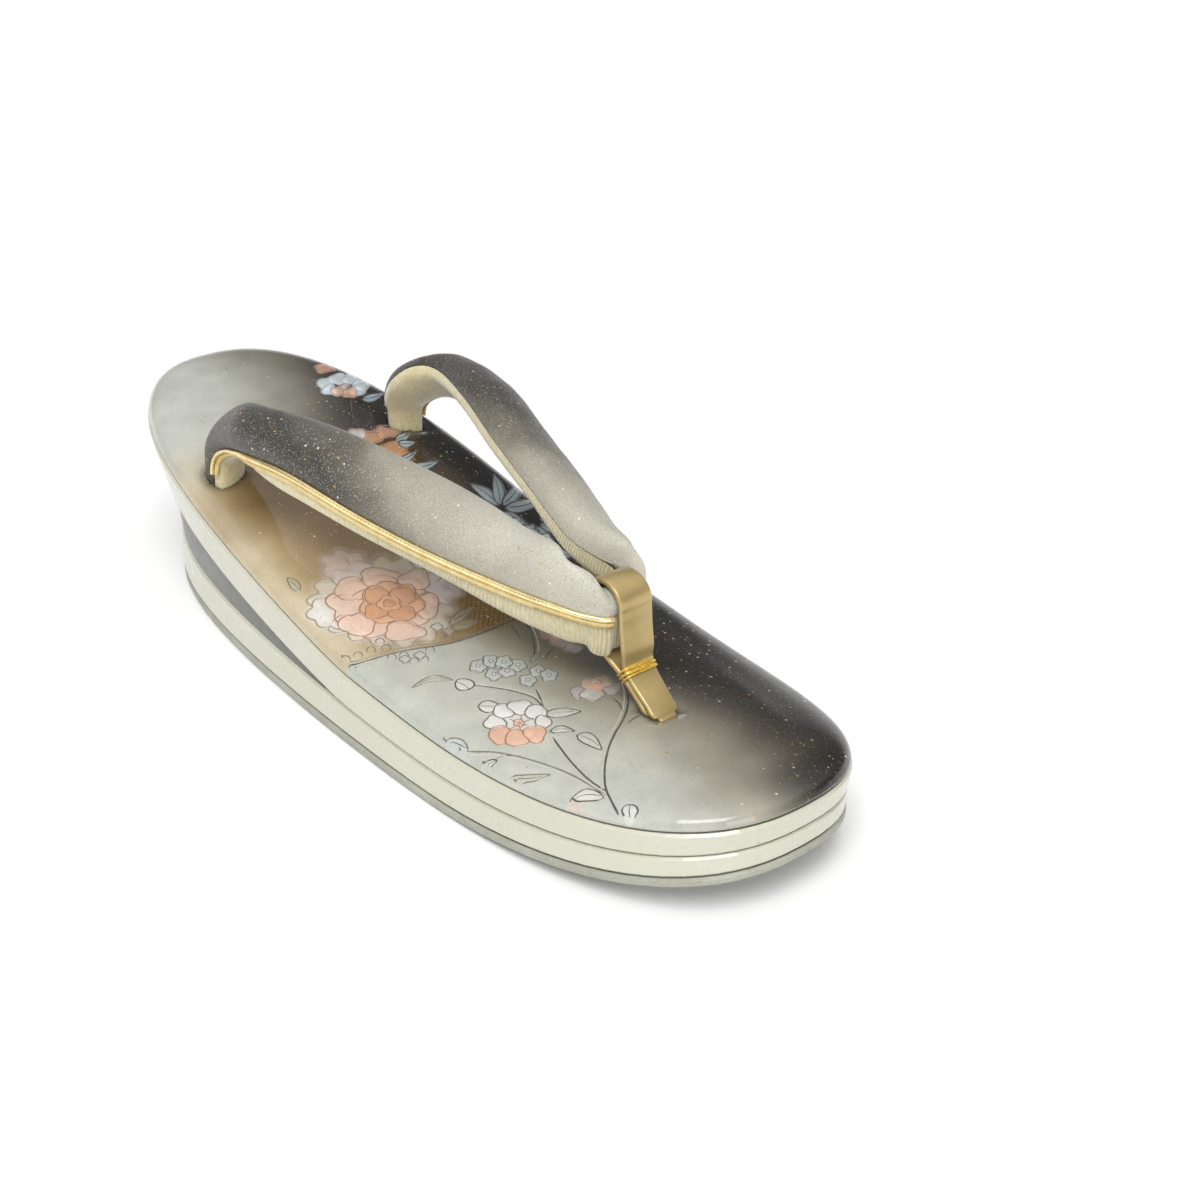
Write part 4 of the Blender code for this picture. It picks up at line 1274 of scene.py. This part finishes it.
def lines_finish():
    made = Finish("ornament_line_finish", 0.30, coat=1.0, coat_roughness=0.03)
    base = made.mottle(made.attribute("paint", True), (0.62, 0.58, 0.50), 900, 3,
                       0.5, 0.75, 0.35)
    return made.set(Base_Color=base, Roughness=made.uneven(700, 2, 0.25, 0.4),
                    Normal=made.grit(1500, 2, 0.15, 0.00008))


def cover_finish():
    made = Finish("strap_cloth_finish", 0.45, sheen=0.08, specular=0.45)
    tone = made.attribute("tone")
    shade = made.math("ADD", tone, made.uneven(70, 3, -0.04, 0.04))
    # Lighter toward the strap's inner crest and darker on its outer side: partly the cloth's own
    # tone, partly painted highlight and painted shade.
    inner = made.ramp(made.attribute("ridge"), 0.15, 1.0, -0.07, 0.17)
    shade = made.math("ADD", shade, inner)
    base = made.mix(made.ramp(shade, 0.42, 0.64), (0.22, 0.21, 0.19), (0.52, 0.50, 0.44))
    base = made.mix(made.ramp(shade, 0.54, 0.86), base, (0.755, 0.745, 0.69))
    grain = made.noise(3400, 2)
    base = made.mix(made.ramp(grain, 0.52, 0.66, 0.0, 0.42), base, (0.36, 0.33, 0.28))
    base = made.mottle(base, (0.92, 0.90, 0.85), 3000, 2, 0.60, 0.70, 0.50)
    spot, kind = made.flecks(620, 0.17, made.ramp(tone, 0.1, 0.9, 0.34, 0.10))
    gold = made.mix(made.math("GREATER_THAN", kind, 0.55), (0.88, 0.68, 0.34),
                    (0.96, 0.94, 0.88))
    base = made.mix(made.product(spot, 0.9), base, gold)
    weave = made.noise(1900, 2, made.stretched(1, 1, 2))
    normal = made.grit(260, 3, 0.15, 0.0004, made.bump(weave, 0.55, 0.00022))
    return made.set(Base_Color=base, Metallic=made.product(spot, 0.8),
                    Roughness=made.ramp(grain, 0.3, 0.7, 0.30, 0.60), Normal=normal)


def lining_finish():
    made = Finish("strap_pile_finish", 0.85, sheen=0.9, specular=0.2)
    wobble = made.math("ADD", made.attribute("run"),
                       made.ramp(made.noise(300, 2), 0, 1, -0.25, 0.25))
    rib = made.math("SINE", made.product(wobble, 2 * math.pi / 0.95))
    rib = made.product(rib, made.ramp(made.attribute("tone"), 0.45, 0.75))
    base = made.mottle((0.865, 0.825, 0.665), (0.79, 0.74, 0.56), 900, 4)
    # Painted shade darkens the troughs between the pile's ribs.
    base = made.mix(made.ramp(rib, -1.0, -0.2, 0.28, 0.0), base, (0.70, 0.64, 0.44))
    normal = made.bump(rib, 0.7, 0.00030, made.grit(3200, 3, 0.6, 0.00025))
    return made.set(Base_Color=base, Roughness=made.uneven(600, 2, 0.8, 0.95), Normal=normal)


def leather_finish():
    made = Finish("gold_leather_finish", 0.36, 0.55, coat=0.25, coat_roughness=0.2)
    base = made.mottle((0.77, 0.68, 0.47), (0.70, 0.61, 0.40), 120, 4)
    base = made.mottle(base, (0.62, 0.52, 0.34), 1600, 4, 0.6, 0.75, 0.35)
    normal = made.grit(200, 3, 0.15, 0.0004, made.bump(made.cells(1500)[0], 0.10, 0.00012))
    return made.set(Base_Color=base, Roughness=made.uneven(300, 3, 0.28, 0.42), Normal=normal)


def cord_finish(name, ribs, light, deep, roughness, depth):
    made = Finish(name, roughness, 0.75)
    rib = made.math("SINE", made.product(made.attribute("run"), 2 * math.pi / ribs))
    base = made.mottle(light, deep, 400, 3)
    # Painted shade darkens the grooves between the ribs.
    base = made.mix(made.ramp(rib, -1.0, 0.0, depth, 0.0), base, (0.42, 0.30, 0.12))
    return made.set(Base_Color=base,
                    Roughness=made.uneven(500, 2, roughness - 0.06, roughness + 0.08),
                    Normal=made.bump(rib, depth, 0.00010))


def thread_finish():
    made = Finish("gold_thread_finish", 0.38, 0.6)
    base = made.mottle((0.95, 0.82, 0.40), (0.82, 0.65, 0.22), 1500, 3)
    normal = made.bump(made.noise(2600, 2, made.stretched(3, 1, 1)), 0.5, 0.0001)
    return made.set(Base_Color=base, Roughness=made.uneven(900, 2, 0.3, 0.5), Normal=normal)


def floor_finish():
    made = Finish("floor_finish", 0.6, specular=0.2)
    base = made.mottle((0.965, 0.965, 0.965), (0.955, 0.955, 0.958), 6, 3)
    far = made.node("ShaderNodeVectorMath", {0: made.place}, operation="LENGTH").outputs["Value"]
    return made.set(Base_Color=base, Normal=made.grit(900, 2, 0.03, 0.0001),
                    Emission_Strength=made.ramp(far, 0.25, 1.2, 0.04, 0.5))


def carry_over(node, finish):
    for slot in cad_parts[node].material_slots:
        slot.material = finish


# Stage

def add_light(name, place, target, size, energy):
    data = bpy.data.lights.new(name, "AREA")
    data.shape = "RECTANGLE"
    data.size = data.size_y = size
    data.energy = energy
    light = bpy.data.objects.new(name, data)
    bpy.context.scene.collection.objects.link(light)
    light.location = place
    light.rotation_euler = (Vector(target) - Vector(place)).to_track_quat("-Z", "Y").to_euler()


def add_stage():
    bm = bmesh.new()
    bmesh.ops.create_grid(bm, x_segments=24, y_segments=24, size=3.0)
    mesh = bpy.data.meshes.new("floor")
    bm.to_mesh(mesh)
    bm.free()
    mesh.materials.append(floor_finish())
    floor = bpy.data.objects.new("floor", mesh)
    floor.location.z = -0.0002
    bpy.context.scene.collection.objects.link(floor)
    world = bpy.data.worlds.new("studio")
    world.use_nodes = True
    nodes, links = world.node_tree.nodes, world.node_tree.links
    background = nodes["Background"]
    parts = nodes.new("ShaderNodeSeparateXYZ")
    links.new(nodes.new("ShaderNodeTexCoord").outputs["Generated"], parts.inputs["Vector"])
    shares = []
    for limits in ((0.14, 0.30, 0.95, 0.09), (0.50, 0.90, 0.0, 0.99)):
        height = nodes.new("ShaderNodeMapRange")
        for name, value in zip(("From Min", "From Max", "To Min", "To Max"), limits):
            height.inputs[name].default_value = value
        links.new(parts.outputs["Z"], height.inputs["Value"])
        shares.append(height.outputs["Result"])
    both = nodes.new("ShaderNodeMath")
    for socket, share in zip(both.inputs, shares):
        links.new(share, socket)
    links.new(both.outputs[0], background.inputs["Strength"])
    background.inputs["Color"].default_value = (1.0, 1.0, 1.0, 1.0)
    bpy.context.scene.world = world
    bpy.context.scene.view_settings.view_transform = "Standard"
    add_light("key", (-1.05, -0.95, 2.20), (0, 0, 0.02), 1.45, 43.0)
    add_light("front", (-0.25, -1.05, 0.42), (0, -0.05, 0.03), 0.45, 1.9)
    add_light("side", (-1.30, 0.05, 0.45), (0, 0, 0.03), 0.60, 1.6)


add_camera()
STRAP_FRAMES = section_frames(strap_sections())
peony()
DIVIDE = fringe()
front_sprays()
rear_flowers()

carry_over("outsole", outsole_finish())
carry_over("heel_wedge", wedge_finish())
ENAMEL = enamel_finish()
carry_over("lower_layer", ENAMEL)
carry_over("upper_layer", ENAMEL)
RELIEF = build_footbed(DIVIDE, footbed_finish())
build_lines(RELIEF, lines_finish())
strap_piece("strap_cover", "cover", cover_finish(), "straps")
strap_piece("strap_pile", "lining", lining_finish(), "strap_lining")
CORD = cord_finish("gold_cord_finish", 1.1, (0.98, 0.91, 0.70), (0.93, 0.81, 0.56), 0.22, 0.06)
STRIP = cord_finish("gold_strip_finish", 0.45, (0.94, 0.87, 0.65), (0.88, 0.78, 0.53), 0.36, 0.35)
edge_trim("left", 1, CORD, STRIP)
edge_trim("right", -1, CORD, STRIP)
build_post(leather_finish())
build_thread(thread_finish())
add_stage()
